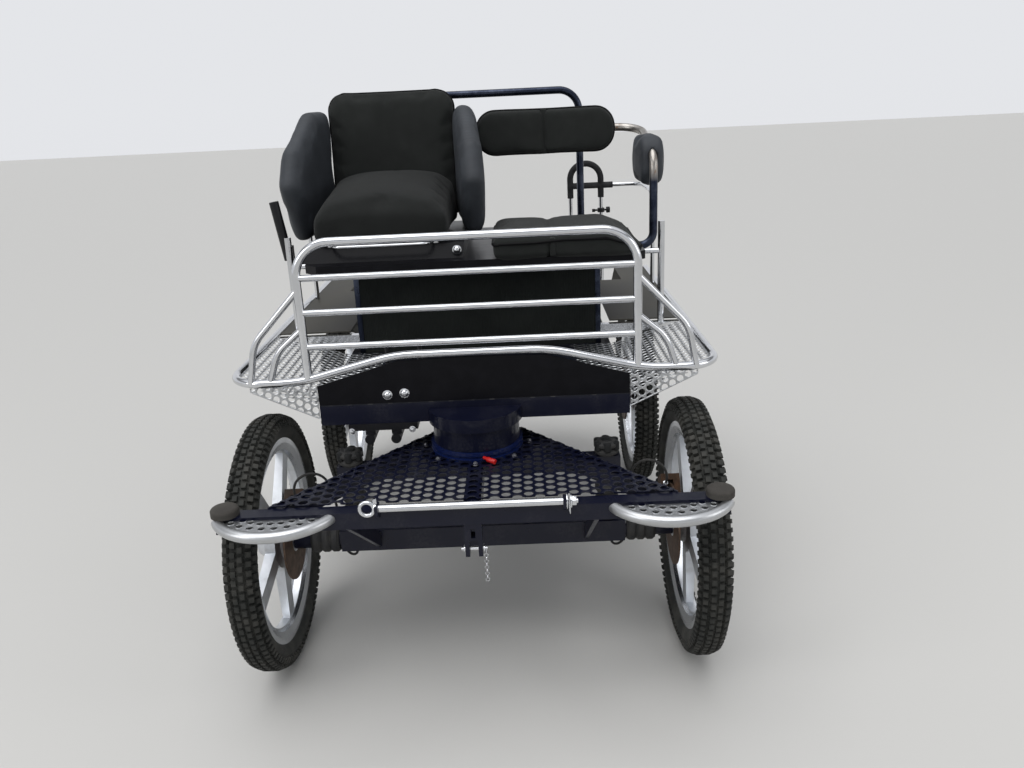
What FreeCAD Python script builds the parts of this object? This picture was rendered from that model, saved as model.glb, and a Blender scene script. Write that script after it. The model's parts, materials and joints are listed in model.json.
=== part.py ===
import FreeCAD, Part
import math
import os
import re
import Sketcher
from FreeCAD import Placement, Rotation, Vector

# A four-wheeled horse drawn carriage with one bench. Its front faces -Y, +X is the
# right of someone who stands before it, +Z is up, and the ground is z = 0.
# The front wheels, their axle and the perforated step deck turn together under the
# body on a turntable, whose kingpin stands over the middle of the front axle.

doc = FreeCAD.newDocument("Carriage")
sheet = doc.addObject("Spreadsheet::Sheet", "Sizes")

# Running gear
front_axle_y = -535.4
wheelbase = 1100.0
track = 1130.0
tyre_radius = 345.0
tyre_width = 76.0
tread_width = 60.0
side_height = 22.0
shoulder_height = 24.0
crown_height = 9.0
tyre_flats = 72.0
tyre_section = 63.0
flange_half = 26.0
flange_wall = 3.0
flange_height = 14.0
seat_half = 20.0
well_depth = 15.0
well_half = 10.0
well_wall = 7.0
web_half = 14.0
hub_radius = 38.0
hub_outer = 45.0
hub_inner = 50.0
disc_radius = 110.0
disc_wall = 5.0
spoke_width = 48.0
window_inner = 78.0
rim_lip = 9.0
stub_radius = 12.5
stub_clearance = 0.06
nut_radius = 20.0
nut_length = 14.0
end_float = 1.0
beam_size = 60.0
beam_half = 385.0
neck_radius = 28.0

# Turntable
frame_bottom = 560.0
frame_depth = 40.0
deck_front = 330.0
deck_front_half = 468.0
deck_rear = 100.0
deck_rear_half = 120.0
diagonal_width = 38.0
bar_width = 40.0
bar_half = 580.0
spring_bar_half = 375.0
spring_bar_depth = 40.0
deck_wall = 3.0
ring_radius = 120.0
ring_height = 25.0
ring_groove = 4.0
kingpin_radius = 20.0
kingpin_clearance = 0.06
plate_gap = 0.5
drum_radius = 112.0
base_radius = 150.0
base_wall = 8.0

# Front steps
step_centre = 447.5
step_radius = 143.5
step_setback = 69.5
step_tube = 13.0
step_wall = 3.0
step_sink = 7.0
step_hole = 7.5
step_row_centre = 103.0
step_row_pitch = 11.0
buffer_radius = 32.0
buffer_height = 19.0
buffer_round = 8.0
buffer_inset = 20.0

# Pole fittings
pin_radius = 8.5
pin_half = 216.0
lug_half = 205.0
lug_wall = 8.0
lug_depth = 26.0
pin_height = 16.0
eye_radius = 16.0
eye_wire = 4.5
drop_width = 40.0
drop_wall = 10.0
drop_length = 85.0
slot_half = 5.0
clevis_radius = 8.0

# Suspension and brakes
front_spring_x = 340.0
rear_spring_x = 200.0
spring_radius = 32.0
spring_neck = 24.0
spring_pitch = 36.0
knob_height = 40.0
boot_radius = 40.0
boot_start = 390.0
boot_length = 76.0
arm_wall = 10.0
arm_depth = 45.0
arm_reach = 340.0
front_arm_x = 280.0
caliper_angle = 55.0
caliper_wall = 18.0
caliper_gap = 5.0
caliper_span = 64.0
caliper_reach = 132.0
caliper_root = 76.0
port_radius = 6.0
port_length = 12.0
hose_radius = 3.5

# Body frame
rail_bottom = 697.0
rail_depth = 35.0
rail_width = 40.0
rail_centre = 200.0
front_beam_bottom = 680.0
body_half = 400.0
floor_wall = 3.0
panel_wall = 3.0
rear_end = 1460.0
handle_bar_y = 1250.0
handle_bar_half = 500.0
floor_end = 1045.0
groom_bottom = 420.0
groom_wall = 5.0
groom_half = 300.0
groom_front = 1175.0
groom_rear = 1528.0
hanger_width = 40.0
hanger_wall = 8.0

# Tubes and wings
rim_radius = 11.0
rim_half = 630.0
rim_rise = 65.0
rim_line = 18.0
rim_corner = 90.0
rim_end = 1300.0
rim_tail = 1440.0
rim_tail_drop = 100.0
tail_bend = 120.0
arch_rise = 62.0
arch_reach = 40.0
arch_crown = 195.0
arch_bend = 400.0
post_half = 420.0
dash_rise = 355.0
dash_corner = 90.0
dash_radius = 11.0
bar_radius = 8.5
bar_drop = 87.0
bar_step = 88.0
guard_radius = 8.5
guard_bend = 110.0
wing_wall = 3.0
wing_end = 435.0
skirt_reach = 20.0
wing_flange = 285.0
wing_bar = 30.0
guard_wall = 4.0
guard_start = 472.0
guard_step = 1060.0
guard_narrow = 508.0
seam = 0.3

# Seat
box_inset = 30.0
box_front = 450.0
box_rear = 950.0
box_top = 1000.0
box_wall = 12.0
bench_inset = 55.0
bench_front = 365.0
bench_rear = 1000.0
bench_wall = 25.0
driver_x = -271.0
base_overhang = 36.0
base_height = 42.0
base_front = 415.0
base_rear = 900.0
slide_height = 16.0
slide_half = 150.0
cushion_width = 390.0
cushion_front = 400.0
cushion_rear = 815.0
cushion_nose = 105.0
cushion_tail = 160.0
back_width = 408.0
back_top = 1510.0
back_wall = 75.0
back_lean = 8.0
back_corner = 60.0
bolster_wall = 56.0
bolster_round = 24.0
bolster_set = 60.0
bolster_flare = 7.0
bolster_length = 400.0
bolster_top = 1455.0
soft_round = 18.0
pad_wall = 38.0
pad_bottom = 1290.0
pad_top = 1420.0
pad_left = 10.0
pad_right = 455.0
pad_split = 228.0
pad_end = 60.0
pad_round = 12.0
seat_cushion_height = 66.0
seat_cushion_front = 335.0
seat_cushion_rear = 700.0
seat_cushion_right = 485.0
cushion_gap = 6.0
cushion_left = 52.0
cushion_slope = 95.0
cushion_end = 26.0
rest_radius = 12.5
rest_height = 1355.0
rest_y = 855.0
rest_x = 547.0
rest_start_x = -50.0
rest_start_y = 945.0
rest_turn_x = 50.0
rest_turn_bend = 60.0
rest_shoulder = 70.0
rest_top_bend = 60.0
rest_side_bend = 80.0
rest_front_bend = 60.0
rest_foot_bend = 40.0
rest_foot_y = 560.0
side_pad_length = 215.0
side_pad_height = 145.0
side_pad_wall = 70.0
side_pad_rise = -20.0
side_pad_corner = 55.0

# Rear hoop, handles and small fittings
hoop_half = 359.0
hoop_y = 1022.0
hoop_top = 1480.0
hoop_corner = 70.0
hoop_radius = 12.5
handle_inner = 337.0
handle_width = 116.0
handle_top = 1212.0
handle_radius = 7.5
grip_radius = 11.5
grip_reach = 45.0
handle_bend = 60.0
handle_rail_drop = 82.0
handle_rail_inset = 25.0
handle_rail_y = 950.0
stay_inset = 75.0
stay_y = 457.0
stay_top = 1100.0
stay_radius = 10.0
whip_gap = 64.0
whip_y = 480.0
whip_bottom = 1030.0
whip_length = 175.0
whip_radius = 14.0
whip_bore = 11.0
whip_lean = 8.0
whip_floor = 8.0
whip_grip = 40.0
pedal_inner_x = -150.0
pedal_pitch = 90.0
pedal_y = 150.0
pedal_height = 845.0
pedal_radius = 22.0
pedal_rod = 6.0
pedal_lean = 30.0
master_left = -330.0
master_right = -150.0
master_depth = 50.0
master_height = 52.0
master_bore = 13.0
master_pitch = 34.0
master_length = 90.0

# Places that follow from the sizes
front_y = front_axle_y
rear_y = front_axle_y + wheelbase
flange_radius = tyre_radius - tyre_section
seat_radius = flange_radius - flange_height
well_radius = seat_radius - well_depth
rim_bore = well_radius - well_wall
window_outer = rim_bore - rim_lip
floor_top = rail_bottom + rail_depth + floor_wall
rim_height = floor_top + rim_rise
arch_height = rim_height + arch_rise
rim_tail_height = rim_height - rim_tail_drop
arch_foot = body_half + arch_reach
dash_height = rim_height + dash_rise
bar_top = dash_height - bar_drop
box_half = body_half - box_inset
stay_x = rim_half - stay_inset
bench_half = stay_x - bench_inset
whip_x = -bench_half - whip_gap
base_width = back_width + 2 * base_overhang
handle_rail_height = handle_top - handle_rail_drop
handle_rail_x = rim_half - handle_rail_inset

sizes = {name: number for name, number in list(globals().items()) if isinstance(number, float)}

for row, (name, number) in enumerate(sizes.items(), start=1):
    sheet.set("A%d" % row, name)
    sheet.set("B%d" % row, str(number))
    sheet.setAlias("B%d" % row, name)
doc.recompute()

WORD = re.compile(r"\b[a-z]\w*\b")


def cells(text):
    """Put the sheet's name before each alias in an expression."""
    return WORD.sub(lambda m: "Sizes." + m.group() if m.group() in sizes else m.group(), text)


pieces = []


def bind(item, **expressions):
    """Bind properties to the sheet; a double underscore stands for a dot."""
    for prop, text in expressions.items():
        item.setExpression(prop.replace("__", "."), cells(text))


def plane(body, role):
    return next(f for f in body.Origin.OriginFeatures if f.Role == role)


def start_body(label, x="0", y="0", z="0"):
    body = doc.addObject("PartDesign::Body", label)
    body.Label = label
    bind(body, Placement__Base__x=x, Placement__Base__y=y, Placement__Base__z=z)
    pieces.append(body)
    return body


def start_sketch(body, role, offset="0"):
    sketch = body.newObject("Sketcher::SketchObject", body.Name + "_sketch")
    sketch.AttachmentSupport = [(plane(body, role), "")]
    sketch.MapMode = "FlatFace"
    bind(sketch, AttachmentOffset__Base__z=offset)
    return sketch


def outline(sketch, corners):
    """A closed outline of straight lines; each corner is a pair of expressions."""
    first = sketch.GeometryCount
    count = len(corners)
    ring = [Vector(9 * math.cos(2 * math.pi * i / count), 9 * math.sin(2 * math.pi * i / count), 0)
            for i in range(count)]
    for i in range(count):
        sketch.addGeometry(Part.LineSegment(ring[i], ring[(i + 1) % count]), False)
    for i in range(count):
        after = first + (i + 1) % count
        sketch.addConstraint(Sketcher.Constraint("Coincident", first + i, 2, after, 1))
    for i, pair in enumerate(corners):
        for kind, start, text in zip(("DistanceX", "DistanceY"), (ring[i].x, ring[i].y), pair):
            n = sketch.addConstraint(Sketcher.Constraint(kind, -1, 1, first + i, 1, start))
            sketch.setExpression("Constraints[%d]" % n, cells(text))


def rectangle(sketch, left, right, low, high):
    outline(sketch, ((left, low), (right, low), (right, high), (left, high)))


def circle(sketch, x, y, radius):
    n = sketch.addGeometry(Part.Circle(Vector(5, 5, 0), Vector(0, 0, 1), 7), False)
    for kind, text in (("DistanceX", x), ("DistanceY", y)):
        if text == "0":
            continue
        c = sketch.addConstraint(Sketcher.Constraint(kind, -1, 1, n, 3, 5.0))
        sketch.setExpression("Constraints[%d]" % c, cells(text))
    if x == "0" and y == "0":
        sketch.addConstraint(Sketcher.Constraint("Coincident", n, 3, -1, 1))
    elif x == "0":
        sketch.addConstraint(Sketcher.Constraint("PointOnObject", n, 3, -2))
    elif y == "0":
        sketch.addConstraint(Sketcher.Constraint("PointOnObject", n, 3, -1))
    c = sketch.addConstraint(Sketcher.Constraint("Radius", n, 7.0))
    sketch.setExpression("Constraints[%d]" % c, cells(radius))


def pad(body, sketch, length, middle=False, reverse=False):
    feature = body.newObject("PartDesign::Pad", body.Name + "_pad")
    feature.Profile = sketch
    feature.Reversed = reverse
    bind(feature, Length=length)
    if middle:
        feature.SideType = "Symmetric"
    return feature


def pocket(body, sketch, length="", middle=False, reverse=False):
    feature = body.newObject("PartDesign::Pocket", body.Name + "_pocket")
    feature.Profile = sketch
    feature.Reversed = reverse
    if length:
        bind(feature, Length=length)
    else:
        feature.Type = "ThroughAll"
    if middle:
        feature.SideType = "Symmetric"
    return feature


def revolve(body, sketch, axis):
    feature = body.newObject("PartDesign::Revolution", body.Name + "_turn")
    feature.Profile = sketch
    feature.ReferenceAxis = (sketch, [axis])
    feature.Angle = 360.0
    return feature


def mirror(body, feature, role):
    copy = body.newObject("PartDesign::Mirrored", body.Name + "_mirror")
    copy.Originals = [feature]
    copy.MirrorPlane = (plane(body, role), [""])
    body.Tip = copy
    return copy


def feature(label, shape):
    """A sub-part whose shape is computed here, as no sketch would fit its form."""
    item = doc.addObject("Part::Feature", label)
    item.Label = label
    item.Shape = shape
    pieces.append(item)
    return item


def mirrored(shape):
    return shape.mirror(Vector(0, 0, 0), Vector(1, 0, 0))


def both_sides(shape):
    """The right-hand piece and its mirror image on the left."""
    return Part.makeCompound([shape, mirrored(shape)])


def bent_path(points, bends):
    """A wire of straight runs with a tangent arc of the given radius at each corner."""
    edges = []
    last = points[0]
    for corner, after, bend in zip(points[1:-1], points[2:], bends):
        before = (last - corner).normalize()
        ahead = (after - corner).normalize()
        half = 0.5 * math.acos(max(-1.0, min(1.0, before.dot(ahead))))
        cut = bend / math.tan(half)
        start = corner + before * cut
        end = corner + ahead * cut
        middle = (before + ahead).normalize()
        centre = corner + middle * (bend / math.sin(half))
        top = centre - middle * bend
        if (start - last).Length > 0.01:
            edges.append(Part.LineSegment(last, start).toShape())
        edges.append(Part.Arc(start, top, end).toShape())
        last = end
    edges.append(Part.LineSegment(last, points[-1]).toShape())
    return Part.Wire(edges)


def bent_tube(points, bends, radius):
    path = bent_path(points, bends)
    first = path.Edges[0]
    start = first.valueAt(first.FirstParameter)
    along = first.tangentAt(first.FirstParameter)
    ring = Part.Wire([Part.makeCircle(radius, start, along)])
    tube = path.makePipeShell([ring], True, False)
    if tube.Volume < 0:
        tube.reverse()
    return tube


def fused(shapes):
    return shapes[0].multiFuse(shapes[1:]).removeSplitter()


def largest(shape):
    return max(shape.Solids, key=lambda solid: solid.Volume)


def block(x0, x1, y0, y1, z0, z1):
    return Part.makeBox(x1 - x0, y1 - y0, z1 - z0, Vector(x0, y0, z0))


def rounded_block(x0, x1, y0, y1, z0, z1, radius):
    """A soft pad or cushion: a block with all its edges rounded."""
    solid = block(x0, x1, y0, y1, z0, z1)
    return solid.makeFillet(radius, solid.Edges)


def turned(profile, centre):
    """A solid of revolution about the vertical line through a point."""
    points = [Vector(centre.x + r, centre.y, centre.z + z) for r, z in profile]
    face = Part.Face(Part.makePolygon(points + points[:1]))
    return face.revolve(centre, Vector(0, 0, 1), 360)


def side_plate(corners, x, wall):
    """A plate of the given outline of (y, z) corners, from x to x + wall."""
    points = [Vector(x, y, z) for y, z in corners]
    return Part.Face(Part.makePolygon(points + points[:1])).extrude(Vector(wall, 0, 0))


# Wheels: a cast wheel with five broad spokes, the brake disc on its hub, and a tyre
WHEELS = (
    # label, side of the carriage, axle line
    ("front_left", -1, "front_axle_y"),
    ("front_right", 1, "front_axle_y"),
    ("rear_left", -1, "front_axle_y + wheelbase"),
    ("rear_right", 1, "front_axle_y + wheelbase"),
)
HALF_STEP = 180.0 / 5


def tyre(x, y):
    """A tyre of flat-sided rings, which keep it light; its flats touch the tyre's radius."""
    half = (
        # distance from the middle of the tread, radius
        (seat_half, seat_radius), (flange_half - flange_wall, flange_radius),
        (tyre_width / 2 - 1, flange_radius + side_height),
        (tyre_width / 2, tyre_radius - shoulder_height),
        (tread_width / 2, tyre_radius - crown_height), (tread_width / 6, tyre_radius))
    ring = half + tuple((-a, r) for a, r in reversed(half))
    step = 2 * math.pi / tyre_flats
    corners = []
    for i in range(int(tyre_flats)):
        turn = step * (i + 0.5)
        corners.append([Vector(x + a, y + r / math.cos(step / 2) * math.sin(turn),
                               tyre_radius + r / math.cos(step / 2) * math.cos(turn)) for a, r in ring])
    faces = []
    for near, far in zip(corners, corners[1:] + corners[:1]):
        for k in range(len(ring)):
            after = (k + 1) % len(ring)
            faces.append(Part.Face(Part.makePolygon([near[k], near[after], far[after], far[k], near[k]])))
    solid = Part.Solid(Part.Shell(faces))
    if solid.Volume < 0:
        solid.reverse()
    return solid


for label, side, axle in WHEELS:
    turn = Rotation(Vector(0, 0, 1), 0 if side > 0 else 180)
    body = start_body(label + "_wheel")
    body.Placement = Placement(Vector(), turn)
    bind(body, Placement__Base__x="%d * track / 2" % side, Placement__Base__y=axle,
         Placement__Base__z="tyre_radius")
    sketch = start_sketch(body, "XY_Plane")
    outline(sketch, (
        ("-hub_inner", "stub_radius + stub_clearance"), ("hub_outer", "stub_radius + stub_clearance"),
        ("hub_outer", "hub_radius"), ("web_half + 6", "hub_radius + 14"),
        ("web_half", "window_inner"), ("well_half", "rim_bore - 4"),
        ("seat_half", "rim_bore"), ("flange_half", "seat_radius - 4"),
        ("flange_half", "flange_radius"), ("flange_half - flange_wall", "flange_radius"),
        ("seat_half", "seat_radius"), ("seat_half - 6", "seat_radius - 2"),
        ("well_half", "well_radius"), ("-well_half", "well_radius"),
        ("6 - seat_half", "seat_radius - 2"), ("-seat_half", "seat_radius"),
        ("flange_wall - flange_half", "flange_radius"), ("-flange_half", "flange_radius"),
        ("-flange_half", "seat_radius - 4"), ("-seat_half", "rim_bore"),
        ("-well_half", "rim_bore - 4"), ("-web_half", "window_inner"),
        ("-web_half - 6", "hub_radius + 14"), ("disc_wall - hub_inner", "hub_radius"),
        ("disc_wall - hub_inner", "disc_radius"), ("-hub_inner", "disc_radius")))
    revolve(body, sketch, "H_Axis")

    # One window between two spokes whose edges run parallel to the spokes' centre lines
    window = start_sketch(body, "YZ_Plane")
    ring = []
    for radius in (window_inner, window_outer):
        along = math.sqrt(radius ** 2 - spoke_width ** 2 / 4)
        a = math.radians(HALF_STEP)
        across = along * math.sin(a) - spoke_width / 2 * math.cos(a)
        ring.append((radius, math.asin(across / radius)))
    ends = []
    for radius, spread in ring:
        arc = Part.ArcOfCircle(Part.Circle(Vector(), Vector(0, 0, 1), radius),
                               math.pi / 2 - spread, math.pi / 2 + spread)
        ends.append((arc.StartPoint, arc.EndPoint))
        window.addGeometry(arc, False)
    window.addGeometry(Part.LineSegment(ends[0][0], ends[1][0]), False)
    window.addGeometry(Part.LineSegment(ends[0][1], ends[1][1]), False)
    for line, end in ((2, 1), (3, 2)):
        window.addConstraint(Sketcher.Constraint("Coincident", line, 1, 0, end))
        window.addConstraint(Sketcher.Constraint("Coincident", line, 2, 1, end))
    for arc, alias in ((0, "window_inner"), (1, "window_outer")):
        window.addConstraint(Sketcher.Constraint("Coincident", arc, 3, -1, 1))
        n = window.addConstraint(Sketcher.Constraint("Radius", arc, ring[arc][0]))
        window.setExpression("Constraints[%d]" % n, cells(alias))
        across = ("sqrt(%s ^ 2 - spoke_width ^ 2 / 4) * sin(%g deg) - spoke_width / 2 * cos(%g deg)"
                  % (alias, HALF_STEP, HALF_STEP))
        for end, sign in ((1, ""), (2, "-")):
            start = ends[arc][end - 1].x
            n = window.addConstraint(Sketcher.Constraint("DistanceX", -1, 1, arc, end, start))
            window.setExpression("Constraints[%d]" % n, cells("%s(%s)" % (sign, across)))
    cut = pocket(body, window, "2 * (hub_outer - 1)", middle=True)
    spokes = body.newObject("PartDesign::PolarPattern", body.Name + "_spokes")
    spokes.Originals = [cut]
    spokes.Axis = (plane(body, "X_Axis"), [""])
    spokes.Angle = 360.0
    spokes.Occurrences = 5
    body.Tip = spokes

    feature(label + "_tyre", tyre(side * track / 2, front_axle_y if "front" in label else rear_y))

# Axles: a square beam with a round neck and a stub at each end, and a nut on each stub
AXLES = (("front_axle_beam", "front_axle_y"), ("rear_axle_beam", "front_axle_y + wheelbase"))
for label, axle in AXLES:
    body = start_body(label, "0", axle, "tyre_radius")
    sketch = start_sketch(body, "YZ_Plane")
    rectangle(sketch, "-beam_size / 2", "beam_size / 2", "-beam_size / 2", "beam_size / 2")
    pad(body, sketch, "2 * beam_half", middle=True)
    sketch = start_sketch(body, "XY_Plane")
    neck = "track / 2 - hub_inner - end_float"
    nut = "track / 2 + hub_outer + end_float"
    outline(sketch, (
        ("beam_half - 10", "0"), (nut + " + nut_length", "0"), (nut + " + nut_length", "nut_radius"),
        (nut, "nut_radius"), (nut, "stub_radius"), (neck, "stub_radius"),
        (neck, "neck_radius"), ("beam_half - 10", "neck_radius")))
    stub = revolve(body, sketch, "H_Axis")
    mirror(body, stub, "YZ_Plane")

# Turntable frame: cross bar at the front, two diagonals to the ring, the spring bar
# under them, and the base plate of the ring
body = start_body("turntable_frame", "0", "front_axle_y", "frame_bottom")
sketch = start_sketch(body, "XY_Plane")
outline(sketch, (
    ("-deck_front_half", "-deck_front"), ("deck_front_half", "-deck_front"),
    ("deck_rear_half", "deck_rear"), ("-deck_rear_half", "deck_rear")))
pad(body, sketch, "frame_depth")
slope = "(deck_front_half - deck_rear_half) / (deck_front + deck_rear)"
windows = start_sketch(body, "XY_Plane")
for sign in ("", "-"):
    outline(windows, (
        (sign + "(bar_width / 2)", "-deck_front"),
        (sign + "(deck_front_half - diagonal_width)", "-deck_front"),
        (sign + "(deck_front_half - diagonal_width - (deck_front - bar_width / 2) * %s)" % slope,
         "-bar_width / 2"),
        (sign + "(bar_width / 2)", "-bar_width / 2")))
pocket(body, windows, reverse=True)
sketch = start_sketch(body, "XY_Plane")
rectangle(sketch, "-bar_half", "bar_half", "-deck_front - bar_width", "-deck_front")
pad(body, sketch, "frame_depth")
sketch = start_sketch(body, "XY_Plane")
rectangle(sketch, "-spring_bar_half", "spring_bar_half", "-bar_width / 2", "bar_width / 2")
pad(body, sketch, "spring_bar_depth", reverse=True)
sketch = start_sketch(body, "XY_Plane", "frame_depth - base_wall")
circle(sketch, "0", "0", "base_radius")
pad(body, sketch, "base_wall")
sketch = start_sketch(body, "XY_Plane")
circle(sketch, "0", "0", "kingpin_radius + 4")
pocket(body, sketch, reverse=True)
# Two lugs on the cross bar that hold the pole pin
sketch = start_sketch(body, "YZ_Plane")
outline(sketch, (
    ("-deck_front - bar_width", "frame_depth - 12"), ("-deck_front - bar_width + 12", "frame_depth"),
    ("-deck_front - bar_width + 6", "frame_depth + pin_height + 8"),
    ("-deck_front - bar_width - lug_depth", "frame_depth + pin_height + 8"),
    ("-deck_front - bar_width - lug_depth", "frame_depth + pin_height - 12")))
# The lugs stand out from the bar at both ends of the pin
lug = pad(body, sketch, "2 * lug_half + 2 * lug_wall", middle=True)
sketch = start_sketch(body, "YZ_Plane")
rectangle(sketch, "-deck_front - bar_width - lug_depth - 5", "-deck_front - bar_width",
          "-5", "frame_depth + pin_height + 20")
pocket(body, sketch, "2 * lug_half", middle=True)
sketch = start_sketch(body, "YZ_Plane")
rectangle(sketch, "-deck_front - bar_width - 5", "-deck_front", "frame_depth",
          "frame_depth + pin_height + 20")
pocket(body, sketch, "2 * lug_half", middle=True)
sketch = start_sketch(body, "YZ_Plane")
circle(sketch, "-deck_front - bar_width - lug_depth / 2 + 4", "frame_depth + pin_height - 2",
       "pin_radius + 0.05")
pocket(body, sketch, "2 * lug_half + 4 * lug_wall", middle=True)

# Perforated deck plate around the ring
body = start_body("step_deck", "0", "front_axle_y", "frame_bottom + frame_depth")
sketch = start_sketch(body, "XY_Plane")
outline(sketch, (
    ("-deck_front_half", "-deck_front"), ("deck_front_half", "-deck_front"),
    ("deck_rear_half", "deck_rear"), ("-deck_rear_half", "deck_rear")))
pad(body, sketch, "deck_wall")
sketch = start_sketch(body, "XY_Plane")
circle(sketch, "0", "0", "ring_radius + seam")
pocket(body, sketch, reverse=True)

# Lower ring of the turntable, fixed to the deck frame
body = start_body("turntable_ring", "0", "front_axle_y", "frame_bottom + frame_depth")
sketch = start_sketch(body, "XZ_Plane")
outline(sketch, (
    ("kingpin_radius + kingpin_clearance", "0"), ("ring_radius", "0"),
    ("ring_radius", "ring_height / 3"), ("ring_radius - ring_groove", "ring_height / 3 + 2"),
    ("ring_radius - ring_groove", "ring_height * 2 / 3 - 2"), ("ring_radius", "ring_height * 2 / 3"),
    ("ring_radius", "ring_height"), ("kingpin_radius + kingpin_clearance", "ring_height")))
revolve(body, sketch, "V_Axis")

# Drum of the turntable under the body, with the kingpin that turns in the ring
body = start_body("turntable_drum", "0", "front_axle_y", "frame_bottom + frame_depth")
sketch = start_sketch(body, "XZ_Plane")
outline(sketch, (
    ("0", "-12"), ("kingpin_radius", "-12"), ("kingpin_radius", "ring_height + plate_gap"),
    ("drum_radius", "ring_height + plate_gap"),
    ("drum_radius", "front_beam_bottom - frame_bottom - frame_depth"),
    ("0", "front_beam_bottom - frame_bottom - frame_depth")))
revolve(body, sketch, "V_Axis")

# Half-moon steps in front of the wheels: a perforated plate in a bright tube. Both are
# the part of a disc that lies in front of the cross bar; the holes are in two arcs.
STEP_ROWS = (
    # radius of the arc, number of holes
    (146.0, 8), (123.0, 7),
)


def half_moon():
    base = front_y - deck_front - bar_width - seam
    centre = Vector(step_centre, base + step_setback, frame_bottom + frame_depth - step_tube)
    tube = Part.makeTorus(step_radius, step_tube, centre)
    plate = Part.makeCylinder(step_radius, step_wall,
                              centre + Vector(0, 0, step_tube - step_sink - step_wall))
    reach = step_radius + 2 * step_tube
    front = block(centre.x - reach, centre.x + reach, base - reach, base, centre.z - reach, centre.z + reach)
    holes = []
    for row, count in STEP_ROWS:
        for i in range(round(count)):
            turn = math.radians(step_row_pitch * (i - (count - 1) / 2))
            x = centre.x + row * math.sin(turn)
            y = base + step_row_centre - row * math.cos(turn)
            holes.append(Part.makeCylinder(step_hole, 2 * reach, Vector(x, y, centre.z - reach)))
    return fused([tube, plate.cut(holes)]).common(front)


feature("half_moon_steps", both_sides(half_moon()))
# Domed rubber buffers on the outer ends of the cross bar
buffer = Part.makeCylinder(buffer_radius, buffer_height,
                           Vector(bar_half - buffer_inset, front_y - deck_front - bar_width / 2,
                                  frame_bottom + frame_depth))
rounded = [e for e in buffer.Edges if e.BoundBox.ZMin > frame_bottom + frame_depth + 1]
feature("step_buffers", both_sides(buffer.makeFillet(buffer_round, rounded)))

# Pole pin: a bright rod through both lugs, with a ring to pull it out by
pin_y = front_y - deck_front - bar_width - lug_depth / 2 + 4
pin_z = frame_bottom + frame_depth + pin_height - 2
rod = Part.makeCylinder(pin_radius, 2 * pin_half, Vector(-pin_half, pin_y, pin_z), Vector(1, 0, 0))
eye = Part.makeTorus(eye_radius, eye_wire,
                     Vector(-pin_half - eye_radius, pin_y, pin_z), Vector(0, 1, 0))
feature("pole_pin", fused([rod, eye]))

# Drop bracket under the middle of the cross bar, with a clevis hole across it
body = start_body("pole_drop_bracket", "0", "front_axle_y - deck_front - bar_width / 2", "frame_bottom")
sketch = start_sketch(body, "YZ_Plane")
outline(sketch, (
    ("-18", "0"), ("18", "0"), ("14", "-drop_length"), ("-14", "-drop_length")))
pad(body, sketch, "drop_width", middle=True)
sketch = start_sketch(body, "YZ_Plane")
rectangle(sketch, "-30", "30", "-drop_length - 5", "-drop_length / 2")
pocket(body, sketch, "drop_width - 2 * drop_wall", middle=True)
sketch = start_sketch(body, "YZ_Plane")
circle(sketch, "0", "-drop_length + 16", "clevis_radius")
pocket(body, sketch, "2 * drop_width", middle=True)
sketch = start_sketch(body, "XZ_Plane")
rectangle(sketch, "-slot_half", "slot_half", "-drop_length / 2 + 6", "-12")
pocket(body, sketch, "drop_width", middle=True)


# Rubber spring units between the axles and the frames above them
def spring_unit(x, y, bottom, top):
    count = max(2, round((top - bottom) / spring_pitch))
    pitch = (top - bottom) / count
    profile = [(0.0, 0.0), (spring_neck, 0.0)]
    for i in range(count):
        profile.append((spring_radius, pitch * (i + 0.35)))
        profile.append((spring_radius, pitch * (i + 0.65)))
        profile.append((spring_neck, pitch * (i + 1)))
    profile.append((0.0, top - bottom))
    return turned(profile, Vector(x, y, bottom))


# In front each stands under the spring bar, with a ribbed knob above it on the bar
beam_top = tyre_radius + beam_size / 2
spring = spring_unit(front_spring_x, front_y, beam_top, frame_bottom - spring_bar_depth)
knob = spring_unit(front_spring_x, front_y, frame_bottom, frame_bottom + knob_height)
feature("front_spring_units", Part.makeCompound([both_sides(spring), both_sides(knob)]))
feature("rear_spring_units", both_sides(spring_unit(rear_spring_x, rear_y, beam_top, rail_bottom)))


# Guide arms that hold each axle square under its frame
def guide_arm(x, axle_y, top):
    face = axle_y - beam_size / 2
    foot = tyre_radius
    corners = ((face, foot - 20), (face, foot + arm_depth - 20),
               (face - arm_reach + arm_depth, top), (face - arm_reach, top))
    return side_plate(corners, x - arm_wall / 2, arm_wall)


feature("front_guide_arms", both_sides(guide_arm(front_arm_x, front_y, frame_bottom)))
feature("rear_guide_arms", both_sides(guide_arm(rail_centre, rear_y, rail_bottom)))


def axle_boot():
    """A ribbed rubber boot on the axle's neck."""
    bore = neck_radius + seam
    pitch = boot_length / 3
    profile = [(bore, 0.0)]
    for i in range(3):
        profile.append((boot_radius - 5, pitch * i))
        profile.append((boot_radius, pitch * (i + 0.25)))
        profile.append((boot_radius, pitch * (i + 0.75)))
    profile += [(boot_radius - 5, boot_length), (bore, boot_length)]
    ring = turned(profile, Vector())
    ring.rotate(Vector(), Vector(0, 1, 0), 90)
    ring.translate(Vector(boot_start, front_y, tyre_radius))
    return ring


feature("front_axle_boots", both_sides(axle_boot()))


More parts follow.
